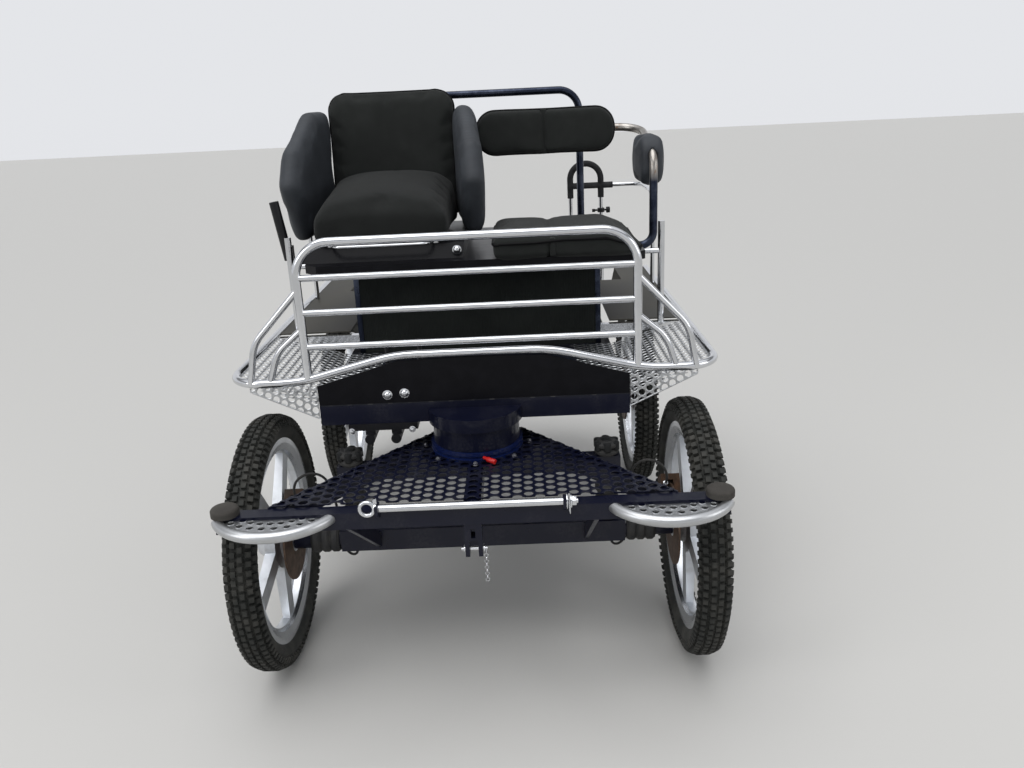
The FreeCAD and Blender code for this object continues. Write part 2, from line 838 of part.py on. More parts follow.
# Brake calipers: a block that straddles the disc, on a plate from the axle's neck; the
# front ones have a port for the brake hose
def caliper(axle_y, port):
    disc = track / 2 - hub_inner
    inner = disc - caliper_gap - caliper_wall
    outer = disc + disc_wall + caliper_gap + caliper_wall
    half = caliper_span / 2
    body = block(inner, outer, -half, half, caliper_root, caliper_reach)
    slot = block(disc - caliper_gap, disc + disc_wall + caliper_gap, -half - 1, half + 1,
                 caliper_root - 1, disc_radius + caliper_gap)
    plate = block(inner, inner + 9, -half * 0.6, half * 0.6, neck_radius + seam, caliper_root)
    bits = [body.cut(slot), plate]
    if port:
        start = Vector(inner + caliper_wall / 2, -half, (caliper_root + caliper_reach) / 2)
        bits.append(Part.makeCylinder(port_radius, port_length, start, Vector(0, -1, 0)))
    shape = fused(bits)
    shape.rotate(Vector(), Vector(1, 0, 0), caliper_angle - 90)
    shape.translate(Vector(0, axle_y, tyre_radius))
    return shape


feature("front_brake_calipers", both_sides(caliper(front_y, True)))
feature("rear_brake_calipers", both_sides(caliper(rear_y, False)))

# Brake hoses: each leaves its caliper's port forwards, arches over, hangs down behind
# the boot and comes up to the underside of the beam. The points are (x, y, z) from the
# front axle's line and the ground, on the right-hand side.
HOSE_ROUTE = (
    (501.0, 23.55, 455.47), (501.0, 2.0, 471.0), (499.0, -12.0, 500.0), (487.0, -18.0, 527.0),
    (462.0, -16.0, 543.0), (435.0, -8.0, 541.0), (415.5, 3.0, 522.0), (408.0, 16.0, 492.0),
    (404.0, 34.0, 446.0), (402.5, 49.0, 400.0), (400.0, 56.0, 360.0), (398.0, 58.0, 325.0),
    (400.0, 54.0, 294.0), (390.6, 46.4, 276.8), (375.0, 34.0, 270.4), (359.4, 21.6, 276.8),
    (350.0, 14.0, 294.0), (350.0, 14.0, 314.95),
)


def cord_bends(points):
    """Each bend's radius is 0.45 of its shorter run over the tangent of half its turn."""
    bends = []
    for before, corner, after in zip(points, points[1:], points[2:]):
        turn = (corner - before).getAngle(after - corner)
        bends.append(0.45 * min((corner - before).Length, (after - corner).Length) / math.tan(turn / 2))
    return bends


for label, side in (("front_hose_left", -1), ("front_hose_right", 1)):
    points = [Vector(side * x, front_y + y, z) for x, y, z in HOSE_ROUTE]
    bends = cord_bends(points)
    hose = bent_tube(points, bends, hose_radius)
    length = bent_path(points, bends).Length
    print(label, "bend radii", [round(b) for b in bends], "length", round(length),
          "volume over section times length", round(hose.Volume / (math.pi * hose_radius ** 2 * length), 4))
    feature(label, hose)

# Body frame: front beam, two long rails, bars across them, and the hangers of the
# groom's platform
body = start_body("chassis_frame", "0", "front_axle_y", "rail_bottom")
sketch = start_sketch(body, "XY_Plane")
rectangle(sketch, "-body_half", "body_half", "-rail_width / 2", "rail_width / 2")
pad(body, sketch, "rail_depth")
for sign in ("", "-"):
    sketch = start_sketch(body, "XY_Plane")
    rectangle(sketch, sign + "(rail_centre - rail_width / 2)", sign + "(rail_centre + rail_width / 2)",
              "0", "rear_end")
    pad(body, sketch, "rail_depth")
sketch = start_sketch(body, "XY_Plane", "front_beam_bottom - rail_bottom")
rectangle(sketch, "-body_half", "body_half", "-rail_width / 2", "rail_width / 2")
pad(body, sketch, "rail_bottom - front_beam_bottom + 1")
sketch = start_sketch(body, "XY_Plane", "front_beam_bottom - rail_bottom")
circle(sketch, "0", "0", "drum_radius + 10")
pad(body, sketch, "rail_bottom - front_beam_bottom + rail_depth / 2")
BARS = (
    # distance behind the front axle, half length
    ("box_front", "body_half"),
    ("handle_bar_y", "handle_bar_half"),
    ("rear_end - rail_width / 2", "body_half"),
)
for y, half in BARS:
    sketch = start_sketch(body, "XY_Plane")
    rectangle(sketch, "-" + half, half, y + " - rail_width / 2", y + " + rail_width / 2")
    pad(body, sketch, "rail_depth")
for sign in ("", "-"):
    sketch = start_sketch(body, "XY_Plane")
    rectangle(sketch, sign + "(groom_half - 20)", sign + "(groom_half - 20 - hanger_wall)",
              "rear_end - hanger_width", "rear_end")
    pad(body, sketch, "rail_bottom - groom_bottom - groom_wall", reverse=True)

# Floor plate
body = start_body("floor_plate", "0", "front_axle_y", "rail_bottom + rail_depth")
sketch = start_sketch(body, "XY_Plane")
rectangle(sketch, "-body_half", "body_half", "-rail_width / 2", "floor_end")
pad(body, sketch, "floor_wall")

# Groom's standing platform behind the rear axle
body = start_body("groom_platform", "0", "front_axle_y", "groom_bottom")
sketch = start_sketch(body, "XY_Plane")
rectangle(sketch, "-groom_half", "groom_half", "groom_front", "groom_rear")
pad(body, sketch, "groom_wall")

# The bright rim tube round the floor and the wings, arched over the front panel
rim_y = front_y - rim_line
half_rim = (
    Vector(rim_half, front_y + rim_tail, rim_tail_height),
    Vector(rim_half, front_y + rim_end, rim_height),
    Vector(rim_half, rim_y, rim_height),
    Vector(arch_foot, rim_y, rim_height),
    Vector(arch_crown, rim_y, arch_height),
)
flip = [Vector(-p.x, p.y, p.z) for p in reversed(half_rim)]


def rim_tube(radius):
    return bent_tube(list(half_rim) + flip, [tail_bend, rim_corner, arch_bend, arch_bend,
                                             arch_bend, arch_bend, rim_corner, tail_bend], radius)


feature("rim_tube", rim_tube(rim_radius))
# What stands on the tube or lies against it is cut to the tube and a seam
rim_cut = rim_tube(rim_radius + seam)

# Front panel under the arch
edge = rim_radius + seam
panel = Part.Face(Part.makePolygon([Vector(x, 0, z) for x, z in (
    (-body_half, floor_top), (body_half, floor_top), (body_half, rim_height - edge),
    (arch_foot - 45, rim_height - edge), (arch_crown - 5, arch_height - edge - 4),
    (0, arch_height - edge), (5 - arch_crown, arch_height - edge - 4),
    (45 - arch_foot, rim_height - edge), (-body_half, rim_height - edge),
    (-body_half, floor_top))])).extrude(Vector(0, panel_wall, 0))
panel.translate(Vector(0, rim_y - panel_wall / 2, 0))
feature("front_panel", panel)

# Dash: the hoop, three bars and two curved guards each side, welded together
hoop = bent_tube([Vector(-post_half, rim_y, rim_height), Vector(-post_half, rim_y, dash_height),
                  Vector(post_half, rim_y, dash_height), Vector(post_half, rim_y, rim_height)],
                 [dash_corner, dash_corner], dash_radius)
rails = [hoop]
for i in range(3):
    rails.append(Part.makeCylinder(bar_radius, 2 * post_half,
                                   Vector(-post_half, rim_y, bar_top - i * bar_step), Vector(1, 0, 0)))
GUARDS = (
    # height on the post, height of the bend, distance of the bend and of the foot from the post
    (1040.0, 905.0, 128.0, 148.0),
    (940.0, 880.0, 72.0, 98.0),
)
for height, bend, out, foot in GUARDS:
    guard = bent_tube([Vector(post_half, rim_y, height), Vector(post_half + out, rim_y, bend),
                       Vector(post_half + foot, rim_y, rim_height)], [guard_bend], guard_radius)
    rails += [guard, mirrored(guard)]
feature("dash_rails", largest(fused(rails).cut(rim_cut)))


# Wings: a plate each side that lies on the floor's edge and slopes up to the rim tube,
# and the upright three-cornered plate that closes it in front
def wing():
    inner = body_half + seam
    outer = rim_half - rim_radius - seam
    low = rail_bottom + rail_depth
    high = rim_height
    wall = wing_wall
    front = front_y - rail_width / 2
    back = front_y + wing_end
    points = [Vector(x, front, z) for x, z in (
        (inner, low), (outer, high - wall), (outer, high), (inner, low + wall))]
    slope = Part.Face(Part.makePolygon(points + points[:1])).extrude(Vector(0, back - front, 0))
    end = rim_half - rim_corner + skirt_reach
    rise = (high - wall - low) / (outer - inner)
    corners = [Vector(x, front, z) for x, z in (
        (inner, rail_bottom), (end, low + rise * (end - inner)), (end, high - edge), (inner, high - edge))]
    skirt = Part.Face(Part.makePolygon(corners + corners[:1])).extrude(Vector(0, wall, 0))
    flange = block(wing_flange, inner + 2 * wall, rim_y + panel_wall / 2 + seam, back,
                   floor_top, floor_top + wall)
    return largest(fused([slope, skirt, flange]).cut(rim_cut))


feature("wings", both_sides(wing()))


# Mudguards behind the wings, over the rear wheels
def mudguard():
    outer = rim_half - rim_radius - seam
    inner = body_half + seam
    top = rim_height + guard_wall / 2
    profile = [Vector(0, y, z) for y, z in (
        (front_y + guard_start, top), (front_y + rim_end, top),
        (front_y + rim_tail, rim_tail_height + guard_wall / 2),
        (front_y + rim_tail, rim_tail_height - guard_wall / 2),
        (front_y + rim_end - 3, top - guard_wall), (front_y + guard_start, top - guard_wall))]
    plate = Part.Face(Part.makePolygon(profile + profile[:1])).extrude(Vector(outer - inner, 0, 0))
    plate.translate(Vector(inner, 0, 0))
    notch = block(inner - 1, guard_narrow, front_y + guard_step, front_y + rim_tail + 50,
                  rim_tail_height - 60, top + 10)
    return plate.cut(notch)


feature("mudguards", both_sides(mudguard()))


# Bars at the back of the wings, and the bright stays that stand on them by the seat
def seat_stay():
    top = rim_height - 5
    bar = block(box_half + seam, rim_half - rim_radius - seam,
                front_y + stay_y - wing_bar / 2 + 4, front_y + stay_y + wing_bar / 2 - 4,
                top - wing_bar, top)
    post = bent_tube([Vector(stay_x, front_y + stay_y, top - 2),
                      Vector(stay_x, front_y + stay_y, stay_top)], [], stay_radius)
    tie_z = box_top + bench_wall / 2
    tie = Part.makeCylinder(stay_radius * 0.8, stay_x - bench_half - seam,
                            Vector(bench_half + seam, front_y + stay_y, tie_z), Vector(1, 0, 0))
    return fused([bar, post, tie])


feature("seat_stays", both_sides(seat_stay()))

# Seat box, hollow, open to the floor below
body = start_body("seat_box", "0", "front_axle_y", "rail_bottom + rail_depth + floor_wall")
sketch = start_sketch(body, "XY_Plane")
rectangle(sketch, "-box_half", "box_half", "box_front", "box_rear")
pad(body, sketch, "box_top - rail_bottom - rail_depth - floor_wall")
sketch = start_sketch(body, "XY_Plane")
rectangle(sketch, "box_wall - box_half", "box_half - box_wall", "box_front + box_wall",
          "box_rear - box_wall")
pocket(body, sketch, "box_top - rail_bottom - rail_depth - floor_wall - box_wall", reverse=True)

# Bench plate on the box, with cut corners
body = start_body("seat_platform", "0", "front_axle_y", "box_top")
sketch = start_sketch(body, "XY_Plane")
outline(sketch, (
    ("-bench_half + 40", "bench_front"), ("bench_half - 40", "bench_front"),
    ("bench_half", "bench_front + 40"), ("bench_half", "bench_rear - 20"),
    ("bench_half - 20", "bench_rear"), ("20 - bench_half", "bench_rear"),
    ("-bench_half", "bench_rear - 20"), ("-bench_half", "bench_front + 40")))
pad(body, sketch, "bench_wall")

# Driver's seat: the raised base, two slide rails, cushion, back and bolsters
bench_top = box_top + bench_wall
body = start_body("driver_seat_base", "driver_x", "front_axle_y", "box_top + bench_wall")
sketch = start_sketch(body, "YZ_Plane")
outline(sketch, (
    ("base_front", "0"), ("base_rear", "0"), ("base_rear", "base_height"),
    ("base_front + 25", "base_height")))
pad(body, sketch, "base_width", middle=True)

body = start_body("driver_slide", "driver_x", "front_axle_y", "box_top + bench_wall + base_height")
for sign in ("", "-"):
    sketch = start_sketch(body, "XY_Plane")
    rectangle(sketch, sign + "(slide_half - 14)", sign + "(slide_half + 14)", "base_front + 30",
              "base_rear - 40")
    pad(body, sketch, "slide_height")
sketch = start_sketch(body, "XY_Plane")
rectangle(sketch, "-slide_half - 14", "slide_half + 14", "base_front + 30", "base_front + 44")
pad(body, sketch, "slide_height - 4")

seat_low = bench_top + base_height + slide_height + seam


def driver_cushion():
    y0 = front_y + cushion_front
    y1 = front_y + cushion_rear
    corners = ((y0, seat_low), (y1, seat_low), (y1, seat_low + cushion_tail), (y0, seat_low + cushion_nose))
    solid = side_plate(corners, driver_x - cushion_width / 2, cushion_width)
    return solid.makeFillet(soft_round, solid.Edges)


feature("driver_cushion", driver_cushion())


def driver_back():
    y0 = front_y + cushion_rear + seam
    x0 = driver_x - back_width / 2
    foot = seat_low + soft_round + 2
    solid = block(x0, x0 + back_width, 0, back_wall, 0, back_top - foot)
    uprights = [e for e in solid.Edges if abs(e.tangentAt(e.FirstParameter).y) > 0.9
                and e.CenterOfMass.z > 10]
    solid = solid.makeFillet(back_corner, uprights)
    solid.rotate(Vector(), Vector(1, 0, 0), -back_lean)
    solid.translate(Vector(0, y0, foot))
    return solid


feature("driver_back", driver_back())


def bolster(sign):
    """A side bolster that opens outwards to the front from the side of the back."""
    length = bolster_length
    height = bolster_top - bench_top - base_height
    corners = ((0, 0), (0, height), (-length * 0.35, height), (-length * 0.85, height * 0.72),
               (-length, height * 0.45), (-length * 0.8, 0))
    solid = side_plate(corners, 0, bolster_wall)
    solid = solid.makeFillet(bolster_round, solid.Edges)
    if sign < 0:
        solid = mirrored(solid)
    solid.rotate(Vector(), Vector(0, 0, 1), sign * bolster_flare)
    solid.translate(Vector(driver_x + sign * (back_width / 2 + soft_round * 0.3),
                           front_y + cushion_rear + bolster_set, bench_top + base_height + seam))
    return solid


feature("driver_bolsters", Part.makeCompound([bolster(-1), bolster(1)]))

# Passenger's seat: two cushions, two back pads on the rest tube, and the side pad
low = bench_top + seam
high = low + seat_cushion_height
split = pad_split
y0 = front_y + seat_cushion_front
y1 = front_y + seat_cushion_rear
left = cushion_left
# The right-hand cushion ends in a slope
end_face = Part.Face(Part.makePolygon([Vector(x, y0, z) for x, z in (
    (split + cushion_gap / 2, low), (seat_cushion_right, low), (seat_cushion_right, low + cushion_end),
    (seat_cushion_right - cushion_slope, high), (split + cushion_gap / 2, high),
    (split + cushion_gap / 2, low))]))
end_cushion = end_face.extrude(Vector(0, y1 - y0, 0))
feature("passenger_cushion", Part.makeCompound([
    rounded_block(left, split - cushion_gap / 2, y0, y1, low, high, soft_round),
    end_cushion.makeFillet(pad_round, end_cushion.Edges)]))
rest_front = front_y + rest_y - rest_radius - seam


def back_pad(x0, x1, end):
    """Half of the back pad, with large round corners at its outer end."""
    solid = block(x0, x1, rest_front - pad_wall, rest_front, pad_bottom, pad_top)
    corners = [e for e in solid.Edges
               if abs(e.tangentAt(e.FirstParameter).y) > 0.9 and abs(e.CenterOfMass.x - end) < 1]
    solid = solid.makeFillet(pad_end, corners)
    return solid.makeFillet(pad_round, solid.Edges)


feature("passenger_back_pad", Part.makeCompound([
    back_pad(pad_left, split - cushion_gap / 2, pad_left),
    back_pad(split + cushion_gap / 2, pad_right, pad_right)]))


def rest_tube(radius):
    return bent_tube([
        Vector(rest_start_x, front_y + rest_start_y, bench_top),
        Vector(rest_start_x, front_y + rest_start_y, rest_height),
        Vector(rest_turn_x, front_y + rest_y, rest_height),
        Vector(rest_x, front_y + rest_y, rest_height),
        Vector(rest_x, front_y + rest_foot_y, rest_height - rest_shoulder),
        Vector(rest_x, front_y + rest_foot_y, box_top + bench_wall / 2),
        Vector(bench_half + seam, front_y + rest_foot_y, box_top + bench_wall / 2)],
        [rest_top_bend, rest_turn_bend, rest_side_bend, rest_front_bend, rest_foot_bend], radius)


def side_pad():
    """A pad with large round corners that is wrapped round the side of the rest tube."""
    start = front_y + rest_foot_y + rest_radius + seam
    top = rest_height + side_pad_rise
    solid = block(rest_x - side_pad_wall / 2, rest_x + side_pad_wall / 2, start, start + side_pad_length,
                  top - side_pad_height, top)
    corners = [e for e in solid.Edges if abs(e.tangentAt(e.FirstParameter).x) > 0.9]
    solid = solid.makeFillet(side_pad_corner, corners)
    solid = solid.makeFillet(soft_round, solid.Edges)
    return largest(solid.cut(rest_tube(rest_radius + seam)))


feature("passenger_rail", rest_tube(rest_radius))
feature("side_pad", side_pad())

# Hoop behind the bench
feature("rear_hoop", bent_tube(
    [Vector(-hoop_half, front_y + hoop_y, floor_top), Vector(-hoop_half, front_y + hoop_y, hoop_top),
     Vector(hoop_half, front_y + hoop_y, hoop_top), Vector(hoop_half, front_y + hoop_y, floor_top)],
    [hoop_corner, hoop_corner], hoop_radius))


# Groom's handles: an upright loop each side and the rail that runs out of it
handle_y = front_y + handle_bar_y
handle_outer = handle_inner + handle_width
rail_top = rail_bottom + rail_depth


def groom_handle(radius):
    loop = bent_tube([Vector(handle_inner, handle_y, rail_top), Vector(handle_inner, handle_y, handle_top),
                      Vector(handle_outer, handle_y, handle_top), Vector(handle_outer, handle_y, rail_top)],
                     [handle_width / 2 - 1, handle_width / 2 - 1], radius)
    rail = bent_tube([Vector(handle_inner, handle_y, handle_rail_height),
                      Vector(handle_rail_x, handle_y, handle_rail_height),
                      Vector(handle_rail_x, front_y + handle_rail_y, handle_rail_height),
                      Vector(handle_rail_x, front_y + handle_rail_y, rim_height + guard_wall / 2)],
                     [handle_bend, handle_bend], radius)
    return fused([loop, rail])


def foam_grip():
    """The foam sleeve on the top of the loop and on the start of the rail."""
    reach = block(handle_inner - 30, handle_outer + grip_reach, handle_y - 30, handle_y + 30,
                  handle_rail_height - grip_reach, handle_top + 30)
    return largest(groom_handle(grip_radius).common(reach).cut(groom_handle(handle_radius + seam)))


feature("groom_handles", both_sides(groom_handle(handle_radius)))
feature("foam_grips", both_sides(foam_grip()))

# Whip holder on the driver's side
def leaning(shape):
    shape.rotate(Vector(), Vector(0, 1, 0), -whip_lean)
    shape.translate(Vector(whip_x, front_y + whip_y, whip_bottom))
    return shape


tube = leaning(Part.makeCylinder(whip_radius, whip_length))
bore = leaning(Part.makeCylinder(whip_bore, whip_length, Vector(0, 0, whip_floor)))
arm = block(whip_x + 8, -bench_half - seam, front_y + whip_y + 14, front_y + whip_y + 26,
            box_top + 3, box_top + bench_wall - 3)
clip = block(whip_x - 6, whip_x + 12, front_y + whip_y + 9, front_y + whip_y + 26,
             box_top + 3, whip_bottom + whip_grip)
feature("whip_holder", fused([tube, clip, arm]).cut(bore))


# Foot brake: two round pedals on rods, and the master cylinders under the front beam
def pedal(x):
    rod = bent_tube([Vector(x, front_y + pedal_y - pedal_lean, floor_top - 10),
                     Vector(x, front_y + pedal_y, pedal_height)], [], pedal_rod)
    rod = rod.cut(block(x - pedal_lean, x + pedal_lean, front_y, front_y + pedal_y, floor_top - pedal_lean,
                        floor_top + seam))
    face = Part.makeCylinder(pedal_radius, 10, Vector(x, front_y + pedal_y, pedal_height - 6),
                             Vector(0, 0.6, 0.8))
    return fused([rod, face])


feature("brake_pedals", Part.makeCompound([pedal(pedal_inner_x), pedal(pedal_inner_x - pedal_pitch)]))
mount = block(master_left, master_right, front_y - master_depth / 2, front_y + master_depth / 2,
              front_beam_bottom - master_height / 3, front_beam_bottom)
parts = [mount]
for i in (-1, 1):
    x = (master_left + master_right) / 2 + i * master_pitch
    start = Vector(x, front_y - master_length / 2, front_beam_bottom - master_height + master_bore + 4)
    parts.append(Part.makeCylinder(master_bore, master_length, start, Vector(0, 1, 0)))
    parts.append(block(x - master_bore, x + master_bore, front_y - master_depth / 2,
                       front_y + master_depth / 2, start.z + master_bore / 2,
                       front_beam_bottom - master_height / 3))
feature("brake_master", fused(parts))

doc.recompute()
os.makedirs("parts", exist_ok=True)
faults = [o.Name + " " + str(o.State) for o in doc.Objects
          if "Invalid" in o.State or "Error" in o.State]
for item in pieces:
    if item.Shape.isNull() or not item.Shape.isValid() or not item.Shape.Solids:
        faults.append(item.Label + " has no valid solid")
if faults:
    raise RuntimeError("; ".join(faults))
for item in pieces:
    item.Shape.exportStep("parts/%s.step" % item.Label)
print(len(pieces), "pieces written")
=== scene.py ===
import bmesh
import bpy
import json
import math
from mathutils import Matrix, Vector


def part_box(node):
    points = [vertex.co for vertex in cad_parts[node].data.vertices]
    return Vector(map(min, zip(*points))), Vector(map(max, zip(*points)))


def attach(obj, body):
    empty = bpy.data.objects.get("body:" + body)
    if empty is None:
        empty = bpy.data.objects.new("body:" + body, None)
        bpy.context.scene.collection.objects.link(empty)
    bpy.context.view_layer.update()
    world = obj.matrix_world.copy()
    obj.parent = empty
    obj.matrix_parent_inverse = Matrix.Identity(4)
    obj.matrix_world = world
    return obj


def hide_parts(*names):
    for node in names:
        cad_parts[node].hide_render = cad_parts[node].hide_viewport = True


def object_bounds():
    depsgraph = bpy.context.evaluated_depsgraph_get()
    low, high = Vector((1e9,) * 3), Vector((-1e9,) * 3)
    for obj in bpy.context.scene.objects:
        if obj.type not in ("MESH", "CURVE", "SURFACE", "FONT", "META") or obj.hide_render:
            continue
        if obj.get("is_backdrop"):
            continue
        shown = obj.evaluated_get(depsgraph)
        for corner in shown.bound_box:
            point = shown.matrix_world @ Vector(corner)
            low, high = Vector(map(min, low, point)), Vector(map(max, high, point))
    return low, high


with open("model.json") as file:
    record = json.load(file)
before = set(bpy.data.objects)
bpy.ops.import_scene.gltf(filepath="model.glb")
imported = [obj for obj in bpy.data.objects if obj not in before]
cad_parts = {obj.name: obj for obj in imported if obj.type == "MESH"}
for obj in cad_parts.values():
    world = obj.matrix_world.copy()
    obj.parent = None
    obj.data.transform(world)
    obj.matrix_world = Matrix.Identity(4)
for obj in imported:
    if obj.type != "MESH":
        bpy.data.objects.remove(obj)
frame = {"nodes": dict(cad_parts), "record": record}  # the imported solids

scene = bpy.context.scene
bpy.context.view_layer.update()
nodes = frame["nodes"]
print("frame loaded:", len(nodes), "nodes")


def middle(node):
    # the middle of a node's box
    low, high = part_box(node)
    return (Vector(low) + Vector(high)) / 2


frontY, rearY = middle("front_left_wheel").y, middle("rear_left_wheel").y  # the two axles


# Small tools for the modelling

def alone(piece):
    # makes one object the only one selected
    if bpy.context.object and bpy.context.object.mode != "OBJECT":
        bpy.ops.object.mode_set(mode="OBJECT")
    bpy.ops.object.select_all(action="DESELECT")
    piece.select_set(True)
    bpy.context.view_layer.objects.active = piece


def startEdit(piece, kind="FACE", pick="DESELECT"):
    alone(piece)
    bpy.ops.object.mode_set(mode="EDIT")
    bpy.ops.mesh.select_mode(type=kind)
    bpy.ops.mesh.select_all(action=pick)


def endEdit():
    bpy.ops.object.mode_set(mode="OBJECT")


def pickFaces(piece, rule):
    # selects the faces for which rule(place, normal) holds
    mesh = bmesh.from_edit_mesh(piece.data)
    for face in mesh.faces:
        face.select_set(bool(rule(face.calc_center_median(), face.normal)))
    mesh.select_flush_mode()
    bmesh.update_edit_mesh(piece.data)


def pickEdges(piece, rule):
    # selects the edges for which rule(first end, second end) holds
    mesh = bmesh.from_edit_mesh(piece.data)
    for edge in mesh.edges:
        edge.select_set(bool(rule(edge.verts[0].co, edge.verts[1].co)))
    bmesh.update_edit_mesh(piece.data)


def named(name):
    # names the object that an add operator has just made, with its place put in its mesh
    piece = bpy.context.object
    piece.name = name
    bpy.ops.object.transform_apply(location=True, rotation=True, scale=True)
    return piece


def box(name, low, high):
    low, high = Vector(low), Vector(high)
    bpy.ops.object.select_all(action="DESELECT")
    bpy.ops.mesh.primitive_cube_add(size=1, location=(low + high) / 2, scale=high - low)
    return named(name)


def rod(name, start, end, radius, sides=24, tip=None):
    # a round bar from start to end; tip is the radius at its end
    start, end = Vector(start), Vector(end)
    turn = (end - start).to_track_quat("Z", "Y").to_euler()
    bpy.ops.object.select_all(action="DESELECT")
    bpy.ops.mesh.primitive_cone_add(vertices=sides, radius1=radius, radius2=radius if tip is None else tip,
                                    depth=(end - start).length, location=(start + end) / 2, rotation=turn)
    return named(name)


def ringOf(name, centre, radius, wire, axis=(0, 0, 1), around=48, sides=12):
    turn = Vector(axis).to_track_quat("Z", "Y").to_euler()
    bpy.ops.object.select_all(action="DESELECT")
    bpy.ops.mesh.primitive_torus_add(major_radius=radius, minor_radius=wire, major_segments=around,
                                     minor_segments=sides, location=centre, rotation=turn)
    return named(name)


def nurbsLine(name, points, radius):
    # a smooth line through its control points, as a round cord or bar
    bpy.ops.object.select_all(action="DESELECT")
    bpy.ops.curve.primitive_nurbs_path_add()
    line = bpy.context.object
    line.name = name
    line.data.splines.clear()
    run = line.data.splines.new("NURBS")
    run.points.add(len(points) - 1)
    for point, place in zip(run.points, points):
        point.co = (*place, 1.0)
    run.order_u = 3
    run.use_endpoint_u = True
    run.resolution_u = 6
    line.data.bevel_depth, line.data.bevel_resolution = radius, 4
    line.data.use_fill_caps = True
    return line


def bentBar(name, points, radius):
    alone(nurbsLine(name, points, radius))
    bpy.ops.object.convert(target="MESH")
    piece = named(name)
    outwards(piece)
    smooth(piece, 50)
    return piece


def turned(at, way, bars, scale=1.0):
    # round parts along one line; each bar is a name, its start and end along the line, radius and sides
    at, way = Vector(at), Vector(way)
    return [rod(name, at + way * scale * start, at + way * scale * end, radius * scale, sides)
            for name, start, end, radius, sides in bars]


def nutOn(at, way, wide):
    # a washer, a six-sided nut and the thread's end, in shares of the nut's half width
    bars = (("washer", -0.1, 0.22, 1.35, 20), ("nut", 0.2, 1.1, 1.0, 6), ("end", 1.0, 1.45, 0.5, 12))
    parts = turned(at, Vector(way).normalized(), bars, wide)
    for part in parts:
        bevelAll(part, wide * 0.08)
    return parts


def finished(name, parts, body, slot, own=None, edge=0):
    # one dressed piece of many parts; edge is the bevel round each, own a finish unlike the slot's
    for part in parts if edge else ():
        bevelAll(part, edge)
    piece = joined(name, parts)
    smooth(piece)
    dress(piece, body, slot, own=own)
    return piece


def applied(piece, kind, **settings):
    alone(piece)
    change = piece.modifiers.new("change", kind)
    for name, value in settings.items():
        setattr(change, name, value)
    bpy.ops.object.modifier_apply(modifier=change.name)


def bevelAll(piece, width, steps=2):
    applied(piece, "BEVEL", width=width, segments=steps, limit_method="ANGLE", angle_limit=math.radians(40))


def smooth(piece, angle=35):
    alone(piece)
    bpy.ops.object.shade_smooth_by_angle(angle=math.radians(angle))


def joined(name, parts):
    alone(parts[0])
    for part in parts[1:]:
        part.select_set(True)
    if len(parts) > 1:
        bpy.ops.object.join()
    piece = bpy.context.object
    piece.name = name
    return piece


def copied(piece, name, matrix):
    # a copy with a mesh of its own, moved in its mesh
    twin = piece.copy()
    twin.data = piece.data.copy()
    twin.name = name
    scene.collection.objects.link(twin)
    twin.data.transform(matrix)
    if matrix.determinant() < 0:
        twin.data.flip_normals()
    return twin


def mirrored(piece, name):
    return copied(piece, name, Matrix.Scale(-1, 4, (1, 0, 0)))


def outwards(piece):
    startEdit(piece, pick="SELECT")
    bpy.ops.mesh.remove_doubles(threshold=0.00001)
    bpy.ops.mesh.normals_make_consistent(inside=False)
    endEdit()


def dress(piece, body, slot, stands=(), own=None):
    # body, slot and finish of a new piece, and the nodes it stands for
    piece.data.materials.clear()
    piece.data.materials.append(finish[own or slot])
    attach(piece, body)
    if stands:
        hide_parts(*stands)


# Materials: maths on sockets is written as plain expressions

class Wire:
    def __init__(self, paint, out):
        self.paint, self.out = paint, out

    def maths(self, operation, *others):
        return self.paint.node("ShaderNodeMath", dict(operation=operation), dict(enumerate((self, *others))))

    def __add__(self, other): return self.maths("ADD", other)
    def __radd__(self, other): return self.maths("ADD", other)
    def __sub__(self, other): return self.maths("SUBTRACT", other)

    def __rsub__(self, other):
        return self.paint.node("ShaderNodeMath", dict(operation="SUBTRACT"), {0: other, 1: self})

    def __mul__(self, other): return self.maths("MULTIPLY", other)
    def __gt__(self, other): return self.maths("GREATER_THAN", other)
    def __lt__(self, other): return self.maths("LESS_THAN", other)

    def between(self, low, high):
        # 0 to 1 over a range, held at its ends
        return self.paint.node("ShaderNodeMapRange", dict(clamp=True), {0: self, 1: low, 2: high})


